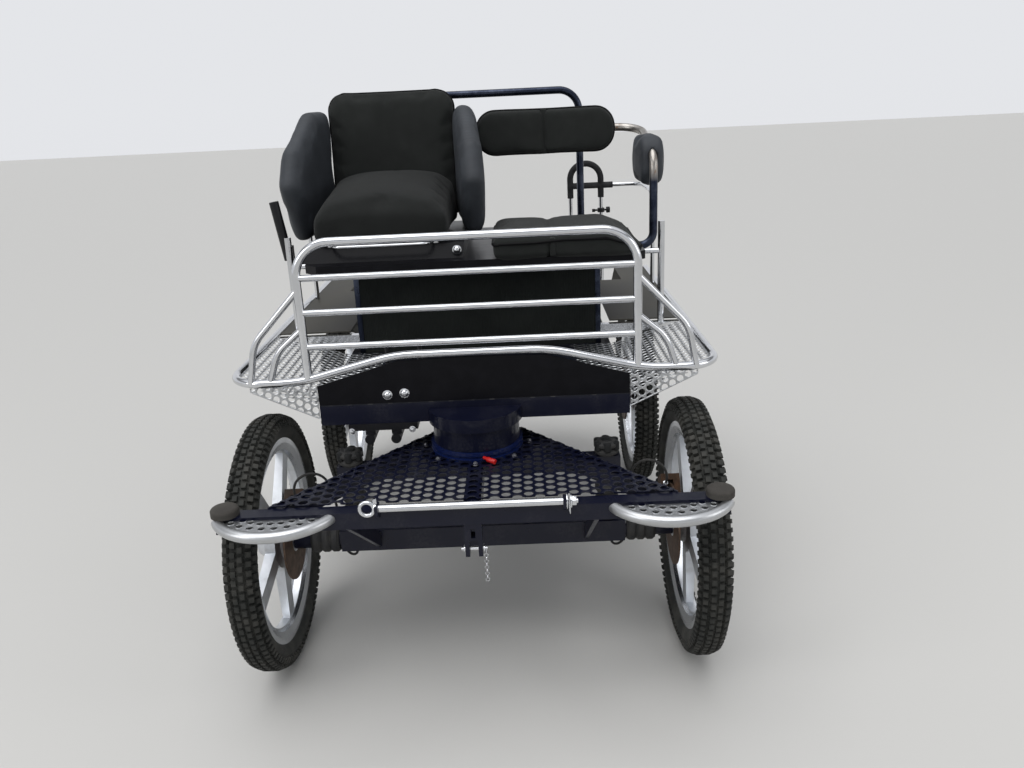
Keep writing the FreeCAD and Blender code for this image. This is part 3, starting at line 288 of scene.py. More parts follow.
class Paint:
    # one material, its shader and the ways to add nodes to it
    def __init__(self, name, **looks):
        self.material = bpy.data.materials.new(name)
        self.material.use_nodes = True
        self.tree = self.material.node_tree
        self.shader = self.tree.nodes["Principled BSDF"]
        self.place = self.node("ShaderNodeTexCoord", {}, {}, "Object")
        for socket, value in looks.items():
            self.shader.inputs[socket.replace("_", " ")].default_value = value

    def node(self, kind, settings, sockets, output=0):
        made = self.tree.nodes.new(kind)
        for name, value in settings.items():
            setattr(made, name, value)
        for name, value in sockets.items():
            if isinstance(value, Wire):
                self.tree.links.new(value.out, made.inputs[name])
            else:
                made.inputs[name].default_value = value
        return Wire(self, made.outputs[output])

    def axes(self):
        parts = self.node("ShaderNodeSeparateXYZ", {}, {0: self.place})
        return [Wire(self, out) for out in parts.out.node.outputs]

    def stretched(self, scale):
        return self.node("ShaderNodeMapping", {}, {"Vector": self.place, "Scale": scale})

    def noise(self, scale, detail=3.0, rough=0.5, at=None):
        sockets = {"Vector": at or self.place, "Scale": scale, "Detail": detail, "Roughness": rough}
        return self.node("ShaderNodeTexNoise", {}, sockets)

    def cells(self, scale, feature="F1"):
        sockets = {"Vector": self.place, "Scale": scale}
        return self.node("ShaderNodeTexVoronoi", dict(feature=feature), sockets, "Distance")

    def mix(self, amount, one, two):
        # a colour between two, by a mask
        one, two = [colour if isinstance(colour, Wire) else (*colour, 1.0) for colour in (one, two)]
        return self.node("ShaderNodeMix", dict(data_type="RGBA"), {0: amount, 6: one, 7: two}, 2)

    def bump(self, height, strength, distance):
        return self.node("ShaderNodeBump", {}, {"Height": height, "Strength": strength, "Distance": distance})

    def feed(self, **wires):
        for socket, wire in wires.items():
            self.tree.links.new(wire.out, self.shader.inputs[socket.replace("_", " ")])
        return self.material


def glossPaint(name, colour, dusty):
    # two-coat gloss paint with a slight skin, dust where it lies, and rubbed places
    paint = Paint(name, Coat_Weight=0.16, Coat_Roughness=0.05, Specular_IOR_Level=0.22)
    cloud = paint.noise(9.0, 4.0, 0.6)
    fine = paint.noise(160.0, 2.0)
    dust = cloud.between(0.48, 0.72) * fine.between(0.3, 0.7) * dusty
    skin = paint.noise(420.0, 1.0)
    return paint.feed(Base_Color=paint.mix(dust, colour, (0.16, 0.155, 0.145)),
                      Roughness=0.24 + cloud * 0.10 + dust * 0.5,
                      Normal=paint.bump(skin, 0.10, 0.0004))


def polished(name, colour, rough, brushed=0.0):
    # bright metal with faint smears and rubbing marks along it
    paint = Paint(name, Metallic=1.0)
    smear = paint.noise(14.0, 5.0, 0.65)
    lines = paint.noise(1.0, 3.0, 0.6, paint.stretched((90.0, 900.0, 900.0)))
    spots = paint.cells(300.0).between(0.0, 0.12)
    dull = tuple(c * 0.86 for c in colour)
    return paint.feed(Base_Color=paint.mix(smear.between(0.35, 0.75), colour, dull),
                      Roughness=rough + smear * 0.10 + lines * brushed + (1 - spots) * 0.05,
                      Normal=paint.bump(lines, 0.05 + brushed * 0.4, 0.0003))


wheelLook = {"axle": 0.345, "discSide": 0.5235, "discBore": 0.034, "disc": 0.118,
             "rimFrom": 0.232, "rimTo": 0.246}


def castWheel(name, look):
    # satin cast alloy; the brake disc on the hub is rusty, known by its distance from the axle
    paint = Paint(name)
    x, y, z = paint.axes()
    side = x.maths("ABSOLUTE")
    # the axles stand at two places along the carriage
    fromAxle = (y - (frontY + rearY) / 2).maths("ABSOLUTE") - (rearY - frontY) / 2
    height = z - look["axle"]
    radius = (fromAxle * fromAxle + height * height).maths("SQRT")
    disc = (side < look["discSide"]) * (radius > look["discBore"]) * (radius < look["disc"])
    grain = paint.noise(240.0, 3.0)
    cloud = paint.noise(16.0, 4.0, 0.6)
    rust = paint.noise(55.0, 5.0, 0.7)
    rustColour = paint.mix(rust.between(0.35, 0.65), (0.034, 0.019, 0.012), (0.110, 0.068, 0.044))
    rim = radius.between(look["rimFrom"], look["rimTo"])
    alloy = paint.mix(cloud.between(0.3, 0.75), (0.66, 0.68, 0.71), (0.52, 0.54, 0.57))
    dirt = cloud.between(0.55, 0.75) * (1 - rim) * 0.5
    colour = paint.mix(dirt, alloy, (0.36, 0.35, 0.33))
    rings = (radius * 1500.0).maths("SINE") * disc
    return paint.feed(Base_Color=paint.mix(disc, colour, rustColour), Metallic=1 - disc * 0.75 - dirt * 0.3,
                      Roughness=0.34 - rim * 0.18 + cloud * 0.12 + disc * 0.25 + dirt * 0.2,
                      Normal=paint.bump(grain + rings * 0.3, 0.14, 0.0006))


def blackRubber(name, colour, rough):
    paint = Paint(name, Specular_IOR_Level=0.35)
    cloud = paint.noise(18.0, 5.0, 0.6)
    fine = paint.noise(380.0, 2.0)
    dust = cloud.between(0.42, 0.75)
    return paint.feed(Base_Color=paint.mix(dust * 0.55, colour, (0.085, 0.080, 0.070)),
                      Roughness=rough + fine * 0.12, Normal=paint.bump(fine, 0.25, 0.0006))


def satinBlack(name, colour, rough, shine=0.25):
    paint = Paint(name, Specular_IOR_Level=shine)
    cloud = paint.noise(25.0, 4.0, 0.6)
    fine = paint.noise(600.0, 2.0)
    dusty = tuple(c * 1.9 + 0.004 for c in colour)
    return paint.feed(Base_Color=paint.mix(cloud.between(0.4, 0.8) * 0.5, colour, dusty),
                      Roughness=rough + cloud * 0.12, Normal=paint.bump(fine, 0.2, 0.0004))


def weave(name, colour, light):
    # charcoal cloth: warp and weft at a millimetre and a half, slubs and worn places
    paint = Paint(name, Sheen_Weight=0.06, Sheen_Roughness=0.5, Specular_IOR_Level=0.20)
    wobble = paint.noise(60.0, 2.0)
    x, y, z = paint.axes()
    warp = ((x + y * 0.55) * 4100.0 + wobble * 3.0).maths("SINE")
    weft = ((z + y * 0.85) * 4100.0 + wobble * 3.0).maths("SINE")
    cloth = warp * weft
    slub = paint.noise(900.0, 2.0, 0.6)
    worn = paint.noise(11.0, 4.0, 0.6).between(0.35, 0.75)
    return paint.feed(Base_Color=paint.mix(cloth.between(-1.0, 1.0) * 0.55 + worn * 0.3, colour, light),
                      Roughness=0.80 + slub * 0.14,
                      Normal=paint.bump(cloth * 0.5 + slub, 0.45, 0.0007))


def leatherette(name, colour, light):
    # soft grain of small cells, a low sheen and rubbed high places
    paint = Paint(name, Specular_IOR_Level=0.4)
    grain = paint.cells(520.0, feature="SMOOTH_F1")
    fine = paint.noise(900.0, 2.0)
    worn = paint.noise(9.0, 4.0, 0.6)
    return paint.feed(Base_Color=paint.mix(worn.between(0.35, 0.7) * 0.6 + grain * 0.3, colour, light),
                      Roughness=0.50 + grain * 0.16 + worn * 0.12,
                      Normal=paint.bump(grain + fine * 0.3, 0.35, 0.0009))


def carpet(name):
    # short ribbed pile
    paint = Paint(name, Sheen_Weight=0.08, Specular_IOR_Level=0.12)
    pile = paint.noise(850.0, 3.0, 0.7)
    x, y, z = paint.axes()
    ribs = ((x + y) * 1250.0).maths("SINE").between(-1.0, 1.0)
    worn = paint.noise(7.0, 4.0, 0.6).between(0.35, 0.75)
    colour = paint.mix(worn * 0.6 + pile * 0.3, (0.0060, 0.0075, 0.0072), (0.020, 0.023, 0.021))
    return paint.feed(Base_Color=colour,
                      Roughness=0.88 + pile * 0.1, Normal=paint.bump(pile + ribs * 0.6, 0.8, 0.0018))


def foam(name):
    paint = Paint(name, Specular_IOR_Level=0.2)
    pores = paint.cells(800.0)
    cloud = paint.noise(30.0, 3.0)
    colour = paint.mix(cloud.between(0.3, 0.7), (0.016, 0.016, 0.017), (0.045, 0.045, 0.047))
    return paint.feed(Base_Color=colour,
                      Roughness=0.85 + pores * 0.1, Normal=paint.bump(pores, 0.6, 0.0008))


def casting(name):
    # iron casting, brown with old rust and grease in its hollows
    paint = Paint(name, Specular_IOR_Level=0.4)
    rust = paint.noise(48.0, 5.0, 0.7)
    grit = paint.noise(420.0, 2.0)
    grease = paint.noise(12.0, 4.0, 0.6).between(0.45, 0.65)
    colour = paint.mix(rust.between(0.35, 0.65), (0.030, 0.016, 0.009), (0.090, 0.044, 0.022))
    return paint.feed(Base_Color=paint.mix(grease * 0.8, colour, (0.010, 0.009, 0.008)),
                      Metallic=0.35 - grease * 0.25, Roughness=0.60 + rust * 0.2 - grease * 0.2,
                      Normal=paint.bump(rust + grit * 0.4, 0.5, 0.0009))


def blueSteel(name):
    # blued steel tube: dark and deep blue, rubbed brighter in patches
    paint = Paint(name, Metallic=0.85)
    cloud = paint.noise(14.0, 4.0, 0.6)
    lines = paint.noise(1.0, 3.0, 0.6, paint.stretched((300.0, 300.0, 30.0)))
    colour = paint.mix(cloud.between(0.45, 0.75), (0.018, 0.023, 0.040), (0.070, 0.082, 0.115))
    return paint.feed(Base_Color=colour,
                      Roughness=0.16 + cloud * 0.16 + lines * 0.06, Normal=paint.bump(lines, 0.06, 0.0003))


def railTube(name):
    # the rest's tube: tarnished and rust-spotted over the pads, blued down its side
    paint = Paint(name, Metallic=0.9)
    x, y, z = paint.axes()
    cloud = paint.noise(22.0, 5.0, 0.65)
    spots = paint.noise(90.0, 4.0, 0.7)
    lower = 1 - z.between(1.205, 1.235)
    bright = paint.mix(cloud.between(0.35, 0.7), (0.46, 0.44, 0.41), (0.24, 0.22, 0.20))
    worn = paint.mix(spots.between(0.55, 0.68) * cloud.between(0.4, 0.6), bright, (0.20, 0.085, 0.030))
    blued = paint.mix(cloud.between(0.45, 0.75), (0.016, 0.021, 0.038), (0.066, 0.078, 0.110))
    return paint.feed(Base_Color=paint.mix(lower, worn, blued), Roughness=0.20 + spots * 0.22,
                      Normal=paint.bump(spots, 0.10, 0.0004))


def treadPlate(name):
    # painted plate with short raised bars that lie crosswise in turn, rubbed on their tops
    paint = Paint(name, Specular_IOR_Level=0.3)
    x, y, z = paint.axes()
    across, along = (x + y) * 120.0, (x - y) * 120.0
    first = (across.maths("SINE") * 0.5 + 0.5) * (along * 0.5).maths("SINE").maths("ABSOLUTE")
    second = (along.maths("SINE") * 0.5 + 0.5) * (across * 0.5).maths("SINE").maths("ABSOLUTE")
    bars = first.maths("MAXIMUM", second).between(0.72, 0.88)
    worn = paint.noise(14.0, 4.0, 0.6).between(0.45, 0.7) * bars
    return paint.feed(Base_Color=paint.mix(worn * 0.7, (0.006, 0.007, 0.012), (0.075, 0.074, 0.072)),
                      Roughness=0.42 + worn * 0.1, Normal=paint.bump(bars, 0.5, 0.0014))


def guardSheet(name):
    # stained plastic sheet, olive and brown, with fine scratches along it
    paint = Paint(name, Specular_IOR_Level=0.45)
    cloud = paint.noise(6.0, 5.0, 0.65)
    marks = paint.noise(1.0, 3.0, 0.6, paint.stretched((700.0, 40.0, 700.0)))
    colour = paint.mix(cloud.between(0.35, 0.7), (0.022, 0.020, 0.014), (0.050, 0.046, 0.034))
    return paint.feed(Base_Color=paint.mix(marks.between(0.55, 0.75) * 0.4, colour, (0.085, 0.080, 0.066)),
                      Roughness=0.42 + cloud * 0.18 + marks * 0.1, Normal=paint.bump(marks, 0.15, 0.0004))


finish = {
    "navy_paint": glossPaint("navyPaint", (0.0035, 0.0045, 0.0150), 0.12),
    "blue_ring": glossPaint("ringBlue", (0.004, 0.010, 0.055), 0.08),
    "stainless": polished("stainlessTube", (0.66, 0.67, 0.69), 0.08),
    "bright_plate": polished("pressedPlate", (0.52, 0.53, 0.54), 0.24, 0.12),
    "cast_alloy": castWheel("castAlloy", wheelLook),
    "tyre": blackRubber("tyreRubber", (0.020, 0.021, 0.019), 0.74),
    "rubber": blackRubber("mouldedRubber", (0.022, 0.022, 0.023), 0.62),
    "black_metal": satinBlack("satinBlack", (0.0065, 0.0065, 0.0080), 0.34),
    "charcoal_fabric": weave("charcoalCloth", (0.0070, 0.0078, 0.0074), (0.032, 0.035, 0.033)),
    "seat_cloth": weave("seatCloth", (0.0046, 0.0051, 0.0049), (0.019, 0.021, 0.020)),
    "grey_leatherette": leatherette("greyLeatherette", (0.020, 0.023, 0.028), (0.046, 0.052, 0.061)),
    "black_carpet": carpet("blackCarpet"),
    "black_plastic": satinBlack("blackPlastic", (0.010, 0.0105, 0.011), 0.48),
    "foam": foam("gripFoam"),
    "brown_casting": casting("brownCasting"),
    "aged_rubber": blackRubber("agedRubber", (0.040, 0.036, 0.032), 0.78),
    "olive_guard": guardSheet("oliveGuard"),
    "black_panel": satinBlack("panelBlack", (0.0030, 0.0030, 0.0045), 0.26, 0.12),
    "blue_steel": blueSteel("blueSteel"),
    "rail_tube": railTube("railTube"),
    "tread_plate": treadPlate("treadPlate"),
    "stainless_dull": polished("dullSteel", (0.30, 0.30, 0.32), 0.30),
    "red_paint": glossPaint("leverRed", (0.45, 0.012, 0.010), 0.05),
    "piping": satinBlack("cushionPiping", (0.0025, 0.0025, 0.0030), 0.55, 0.12),
}
# solids whose finish isn't their slot's
ownFinish = {"foam_grips": "foam", "step_buffers": "aged_rubber", "mudguards": "olive_guard",
             "rear_hoop": "blue_steel", "passenger_rail": "rail_tube",
             "front_brake_calipers": "brown_casting", "rear_brake_calipers": "brown_casting",
             "front_panel": "black_panel", "seat_platform": "black_panel", "driver_seat_base": "black_panel",
             "groom_platform": "tread_plate", "floor_plate": "tread_plate"}
for part in frame["record"]["subparts"]:
    mesh = nodes[part["node"]].data
    mesh.materials.clear()
    mesh.materials.append(finish[ownFinish.get(part["node"], part["material_slot"])])
print("materials made:", len(finish))


# Tyres: a carcass and rows of tread blocks
tyreLook = {"carcass": 0.338, "seat": 0.268, "halfWidth": 0.038, "slim": 0.985, "rows": 96,
            "block": 0.011, "sunk": 0.003, "taper": (0.86, 0.84, 1),
            "blocks": ((0.0088, 0.3425, 0, 0.0130, 0.0155), (0.0262, 0.3375, 24, 0.0140, 0.0150),
                       (0.0352, 0.3215, 66, 0.0170, 0.0125))}  # across, out, tilt, width, length


def treadedTyre(look):
    around, half = (look["carcass"] + look["seat"]) / 2, (look["carcass"] - look["seat"]) / 2
    carcass = ringOf("carcass", (0, 0, 0), around, half, (1, 0, 0), around=96, sides=20)
    startEdit(carcass, pick="SELECT")
    bpy.ops.transform.resize(value=(look["halfWidth"] / half * look["slim"], 1, 1))
    endEdit()
    smooth(carcass, 60)
    blocks = []
    for index, (across, out, tilt, width, length) in enumerate(look["blocks"]):
        for side in (-1, 1):
            bpy.ops.object.select_all(action="DESELECT")
            bpy.ops.mesh.primitive_cube_add(size=1, location=(0, 0, 0), scale=(width, length, look["block"]))
            block = named("block")
            startEdit(block)
            pickFaces(block, lambda at, normal: normal.z > 0.9)
            bpy.ops.transform.resize(value=look["taper"])
            endEdit()
            stagger = math.pi / look["rows"] if (index + (side > 0)) % 2 else 0
            place = Matrix.Translation((side * across, 0, out - look["sunk"]))
            lean = Matrix.Rotation(side * math.radians(tilt), 4, "Y")
            block.data.transform(Matrix.Rotation(stagger, 4, "X") @ place @ lean)
            blocks.append(block)
    tread = joined("tread", blocks)
    startEdit(tread, pick="SELECT")
    bpy.ops.mesh.spin(steps=look["rows"] - 1, dupli=True, angle=math.tau * (1 - 1 / look["rows"]),
                      center=(0, 0, 0), axis=(1, 0, 0))
    endEdit()
    return joined("tyre", [carcass, tread])


firstTyre = treadedTyre(tyreLook)
wheelPlaces = {front + "_" + side: (x, y) for front, y in (("front", frontY), ("rear", rearY))
               for side, x in (("left", -0.565), ("right", 0.565))}
for label, (x, y) in wheelPlaces.items():
    tyre = copied(firstTyre, label + "_treaded_tyre", Matrix.Translation((x, y, wheelLook["axle"])))
    dress(tyre, "wheel_" + label, "tyre", [label + "_tyre"])
bpy.data.objects.remove(firstTyre)
print("tyres treaded")


# Perforated plates: one cell with a round hole, repeated and cut to the plate's outline
def perforated(name, look, low, high, corners):
    # the outline is convex and goes round anticlockwise
    pitch, hole = look["pitch"], look["hole"]
    bpy.ops.object.select_all(action="DESELECT")
    bpy.ops.mesh.primitive_circle_add(vertices=12, radius=hole)
    plate = named(name)
    startEdit(plate, "EDGE")
    last = hole
    rounds = ((hole + (pitch / 2 - hole) * 0.45, look["lip"]), (pitch / math.sqrt(3), -look["lip"]))
    for radius, rise in rounds:
        pickEdges(plate, lambda a, b: abs(a.xy.length - last) < 1e-5 and abs(b.xy.length - last) < 1e-5)
        bpy.ops.mesh.extrude_edges_move(TRANSFORM_OT_translate={"value": (0, 0, rise)})
        bpy.ops.transform.resize(value=(radius / last, radius / last, 1))
        last = radius
    for i in range(6):
        turn = math.radians(30 + 60 * i)
        way = Vector((math.cos(turn), math.sin(turn), 0))
        bpy.ops.mesh.select_all(action="SELECT")
        bpy.ops.mesh.bisect(plane_co=way * pitch / 2, plane_no=way, clear_outer=True)
    endEdit()
    rowStep = pitch * math.sqrt(3) / 2
    across = int((high[0] - low[0]) / (2 * rowStep)) + 2
    along = int((high[1] - low[1]) / pitch) + 2
    second = copied(plate, "second", Matrix.Translation((rowStep, pitch / 2, 0)))
    plate = joined(name, [plate, second])
    for count, step in ((across, (2 * rowStep, 0, 0)), (along, (0, pitch, 0))):
        applied(plate, "ARRAY", count=count, use_relative_offset=False, use_constant_offset=True,
                constant_offset_displace=step, use_merge_vertices=True, merge_threshold=0.0001)
    plate.data.transform(Matrix.Translation((low[0], low[1], 0)))
    startEdit(plate, pick="SELECT")
    bpy.ops.mesh.remove_doubles(threshold=0.0001)
    for (x0, y0), (x1, y1) in zip(corners, corners[1:] + corners[:1]):
        length = math.hypot(x1 - x0, y1 - y0)
        bpy.ops.mesh.select_all(action="SELECT")
        bpy.ops.mesh.bisect(plane_co=(x0, y0, 0), plane_no=((y1 - y0) / length, -(x1 - x0) / length, 0),
                            clear_outer=True)
    endEdit()
    applied(plate, "SOLIDIFY", thickness=look["wall"], offset=-1)
    smooth(plate, 40)
    return plate


deckLook = {"pitch": 0.030, "hole": 0.0122, "lip": 0.0006, "wall": 0.0028, "front": frontY - 0.330,
            "frontHalf": 0.468, "rear": frontY + 0.100, "rearHalf": 0.120, "top": 0.603,
            "edge": 0.0026, "edgeDown": 0.0016}
corners = [(side * deckLook[end + "Half"], deckLook[end])
           for side, end in ((-1, "front"), (1, "front"), (1, "rear"), (-1, "rear"))]
deck = perforated("perforated_deck", deckLook, corners[0], (deckLook["frontHalf"], deckLook["rear"]), corners)
deck.data.transform(Matrix.Translation((0, 0, deckLook["top"])))
dress(deck, "front_axle", "navy_paint", ["step_deck"])
height = deckLook["top"] - deckLook["edgeDown"]
edges = [rod("edge", (*start, height), (*end, height), deckLook["edge"], 10)
         for start, end in zip(corners[1:], corners[2:] + corners[:1])]
finished("deck_edging", edges, "front_axle", "navy_paint")
print("deck laid")


# Wings: one sheet each side, flat on the floor and folded up to the rim tube, with its front closed
wingLook = {"pitch": 0.0225, "hole": 0.0094, "lip": 0.0007, "wall": 0.0016, "inner": 0.285, "fold": 0.402,
            "outer": 0.6185, "low": 0.7365, "high": 0.8005, "front": frontY - 0.016, "rear": frontY + 0.432,
            "corner": 0.079, "cornerLong": 1.1, "cornerAt": (0.540, frontY + 0.072), "spare": 0.02,
            "skirtLow": 0.699, "skirtTop": 0.7885, "skirtEnd": 0.572, "edge": 0.0022}


def wingSheet(look):
    fold, front = look["fold"], look["front"]
    rise = math.atan2(look["high"] - look["low"], look["outer"] - fold)
    flat = lambda x: fold + (x - fold) / math.cos(rise)  # place across the sheet before it is folded
    cx, cy = look["cornerAt"]
    corners = [(look["inner"], front + 0.004), (cx, front)]
    for i in range(1, 6):
        turn = math.radians(-90 + 18 * i)
        corners.append((flat(cx + look["corner"] * math.cos(turn)),
                        cy + look["corner"] * look["cornerLong"] * math.sin(turn)))
    corners += [(flat(look["outer"]), look["rear"]), (look["inner"], look["rear"])]
    sheet = perforated("wing", look, (look["inner"] - look["spare"], front),
                       (flat(look["outer"]) + look["spare"], look["rear"]), corners)
    tilt = (Matrix.Translation((fold, 0, look["low"])) @ Matrix.Rotation(-rise, 4, "Y")
            @ Matrix.Translation((-fold, 0, 0)))
    for point in sheet.data.vertices:
        point.co = tilt @ point.co if point.co.x > fold else point.co + Vector((0, 0, look["low"]))
    slope = (look["high"] - look["skirtLow"]) / (look["outer"] - fold)
    end, y = look["skirtEnd"], front - 0.001
    corners = [(fold, look["skirtLow"]), (end, look["skirtLow"] + slope * (end - fold)),
               (end, look["skirtTop"]), (fold, look["skirtTop"])]
    skirt = perforated("skirt", look, (fold - 0.01, 0.69), (end + 0.01, 0.80), corners)
    skirt.data.transform(Matrix.Translation((0, y, 0)) @ Matrix.Rotation(math.pi / 2, 4, "X"))
    # a folded edge along the skirt
    edge = joined("edge", [rod("edge", (x0, y, z0), (x1, y, z1), look["edge"], 10)
                           for (x0, z0), (x1, z1) in zip(corners, corners[1:3])])
    smooth(edge)
    return joined("wing", [sheet, skirt, edge])


rightWing = wingSheet(wingLook)
rightWing.name = "right_wing_sheet"
for sheet in (rightWing, mirrored(rightWing, "left_wing_sheet")):
    dress(sheet, "carriage", "bright_plate", ["wings"])
print("wings folded")


# Half-moon steps: the solid tube and plate stay, and each hole gets a raised lip and a collar below it,
# painted dark as the shade inside the hole
stepLook = {"x": 0.4475, "behind": 0.3703, "rowsBehind": 0.103, "top": 0.5930,
            "rows": ((0.146, 8), (0.123, 7)),  # radius, holes
            "pitch": 11.0, "hole": 0.0075, "wire": 0.0013, "collar": 0.009, "collarDown": 0.003,
            "wall": 0.0008}


def stepHoles(look):
    # the middle of each hole in the right-hand step
    base = frontY - look["behind"] + look["rowsBehind"]
    holes = []
    for radius, count in look["rows"]:
        for i in range(count):
            turn = math.radians(270 + (i - (count - 1) / 2) * look["pitch"])
            x, y = look["x"] + radius * math.cos(turn), base + radius * math.sin(turn)
            holes.append(Vector((x, y, look["top"])))
    return holes


def stepShadeCollars(look):
    # a short tube under each hole, made dark so that it stands in for the shade seen down the hole
    collars = []
    down, wide = Vector((0, 0, look["collarDown"] + look["collar"] / 2)), look["hole"] + look["wall"]
    for hole in stepHoles(look):
        bpy.ops.object.select_all(action="DESELECT")
        bpy.ops.mesh.primitive_cylinder_add(vertices=20, radius=wide, depth=look["collar"],
                                            end_fill_type="NOTHING", location=hole - down)
        collars.append(named("collar"))
    collars = joined("right_step_shade_collars", collars)
    applied(collars, "SOLIDIFY", thickness=look["wall"], offset=0)
    smooth(collars, 50)
    return collars


rightShadeCollars = stepShadeCollars(stepLook)
for collars in (rightShadeCollars, mirrored(rightShadeCollars, "left_step_shade_collars")):
    # the collars take the satin black finish instead of the step's bright plate: painted shade in the holes
    dress(collars, "front_axle", "bright_plate", own="black_metal")
lipRadius = stepLook["hole"] + stepLook["wire"] * 0.7
rightLips = joined("right_step_lips", [ringOf("lip", hole, lipRadius, stepLook["wire"], around=20, sides=6)
                                       for hole in stepHoles(stepLook)])
smooth(rightLips, 60)
for lips in (rightLips, mirrored(rightLips, "left_step_lips")):
    dress(lips, "front_axle", "bright_plate")
print("half-moon steps pressed")


# Brake hoses: a smooth line through the route's points, from the caliper's port to the axle beam's underside
hoseLook = {"radius": 0.0035, "length": 0.512, "foot": (("ferrule", 0.0015, -0.012, 0.0050, 16),),
            "port": (("ferrule", -0.002, 0.013, 0.0052, 16), ("nut", -0.002, 0.004, 0.0072, 6)), "route": (
    (0.5010, 0.02355, 0.45547), (0.5010, 0.0020, 0.4710), (0.4990, -0.0120, 0.5000),
    (0.4870, -0.0180, 0.5270), (0.4620, -0.0160, 0.5430), (0.4350, -0.0080, 0.5410),
    (0.4155, 0.0030, 0.5220), (0.4080, 0.0160, 0.4920), (0.4040, 0.0340, 0.4460),
    (0.4025, 0.0490, 0.4000), (0.4000, 0.0560, 0.3600), (0.3980, 0.0580, 0.3250),
    (0.4000, 0.0540, 0.2940), (0.3906, 0.0464, 0.2768), (0.3750, 0.0340, 0.2704),
    (0.3594, 0.0216, 0.2768), (0.3500, 0.0140, 0.2940), (0.3500, 0.0140, 0.31495))}
for name, side in (("left", -1), ("right", 1)):
    route = [Vector((side * x, frontY + y, z)) for x, y, z in hoseLook["route"]]
    line = nurbsLine(name + "_brake_hose", route, hoseLook["radius"])
    ferrules = turned(route[0], (route[1] - route[0]).normalized(), hoseLook["port"])
    ferrules += turned(route[-1], (0, 0, 1), hoseLook["foot"])
    ends = finished(name + "_hose_ends", ferrules, "front_axle", "stainless", edge=0.0006)
    dress(line, "front_axle", "rubber", ["front_hose_" + name])
print("brake hoses run")


# Pole pin and drop bracket: the fixings on them, and the short chain that keeps the cross pin
pinLook = {"behind": -0.379, "height": 0.614, "wide": 0.0115, "nut": 0.222,
           "along": (("washer", 0.212, 0.215, 0.0185, 28), ("collar", -0.2155, -0.2095, 0.0130, 24)),
           "stub": -0.2125, "peg": (("peg", 0.006, 0.024, 0.0045, 16),), "edge": 0.0008, "wire": 0.0017,
           "clip": ((0.218, -0.010, 0.024), (0.219, -0.012, 0.0), (0.220, -0.013, -0.022),
                    (0.220, -0.004, -0.030), (0.219, 0.004, -0.022), (0.218, 0.010, -0.008))}
crossLook = {"behind": -0.350, "height": 0.4890, "chain": 0.026, "links": 9, "link": 0.0046, "wire": 0.0011,
             "first": 0.018, "pitch": 1.75, "ring": 0.0078, "ringWire": 0.0013, "ringDown": 0.0075,
             "along": (("pin", -0.030, 0.030, 0.0045, 16), ("washer", -0.0237, -0.0213, 0.009, 20),
                       ("washer", 0.0213, 0.0237, 0.009, 20))}


def poleFixings(look):
    y, z = frontY + look["behind"], look["height"]
    parts = turned((0, y, z), (1, 0, 0), look["along"]) + turned((look["stub"], y, z), (0, 0, 1), look["peg"])
    for part in parts:
        bevelAll(part, look["edge"])
    clip = bentBar("clip", [(x, y + along, z + up) for x, along, up in look["clip"]], look["wire"])
    return parts + [clip] + nutOn((look["nut"], y, z), (1, 0, 0), look["wide"])


def crossPin(look):
    x, y, z = look["chain"], frontY + look["behind"], look["height"]
    parts = turned((0, y, z), (1, 0, 0), look["along"])
    hung = (x, y, z - look["ringDown"])
    parts.append(ringOf("ring", hung, look["ring"], look["ringWire"], (1, 0, 0), 24, 8))
    for i in range(look["links"]):
        down = z - look["first"] - i * look["link"] * look["pitch"]
        across = (1, 0, 0) if i % 2 else (0, 1, 0)
        parts.append(ringOf("link", (x, y, down), look["link"], look["wire"], across, 14, 6))
    return parts


finished("pole_pin_fixings", poleFixings(pinLook), "front_axle", "stainless")
finished("drop_bracket_pin_and_chain", crossPin(crossLook), "front_axle", "stainless")


# Turntable: its bolts and the red locking lever
ringLook = {"bolts": 8, "circle": 0.1365, "top": 0.6030, "rearTop": 0.600, "rearFrom": 0.09, "wide": 0.0062,
            "lever": ((0.020, -0.1175, 0.6140), (0.046, -0.1390, 0.6110)), "leverRadius": 0.0042,
            "tip": ((0.030, -0.1290, 0.6135), (0.050, -0.1420, 0.6110)), "tipRadius": 0.0066}
bolts = []
for i in range(ringLook["bolts"]):
    turn = math.radians(-90 + 45 * i)
    x, y = ringLook["circle"] * math.cos(turn), ringLook["circle"] * math.sin(turn)
    top = ringLook["top"] if y < ringLook["rearFrom"] else ringLook["rearTop"]
    bolts += nutOn((x, frontY + y, top), (0, 0, 1), ringLook["wide"])
finished("turntable_bolts", bolts, "front_axle", "black_metal", "stainless_dull")
lever = [rod(part, *[Vector((x, frontY + y, z)) for x, y, z in ringLook[part]], ringLook[part + "Radius"], 16)
         for part in ("lever", "tip")]
finished("turntable_lever", lever, "front_axle", "navy_paint", "red_paint", edge=0.0012)


# Front of the body: two domed bolts on the panel and the bolts of the brake master's mount
def dome(at, radius, way=(0, -1, 0)):
    bpy.ops.object.select_all(action="DESELECT")
    bpy.ops.mesh.primitive_uv_sphere_add(segments=24, ring_count=16, radius=radius)
    cap = named("dome")
    startEdit(cap, pick="SELECT")
    bpy.ops.mesh.bisect(plane_co=(0, 0, 0), plane_no=(0, 0, -1), clear_outer=True, use_fill=True)
    endEdit()
    at, way = Vector(at), Vector(way)
    cap.data.transform(Matrix.Translation(at) @ way.to_track_quat("Z", "Y").to_matrix().to_4x4()
                       @ Matrix.Scale(0.85, 4, (0, 0, 1)))
    foot = rod("foot", at, at + way * 0.002, radius * 1.25, 28)
    bevelAll(foot, 0.0006)
    return [cap, foot]


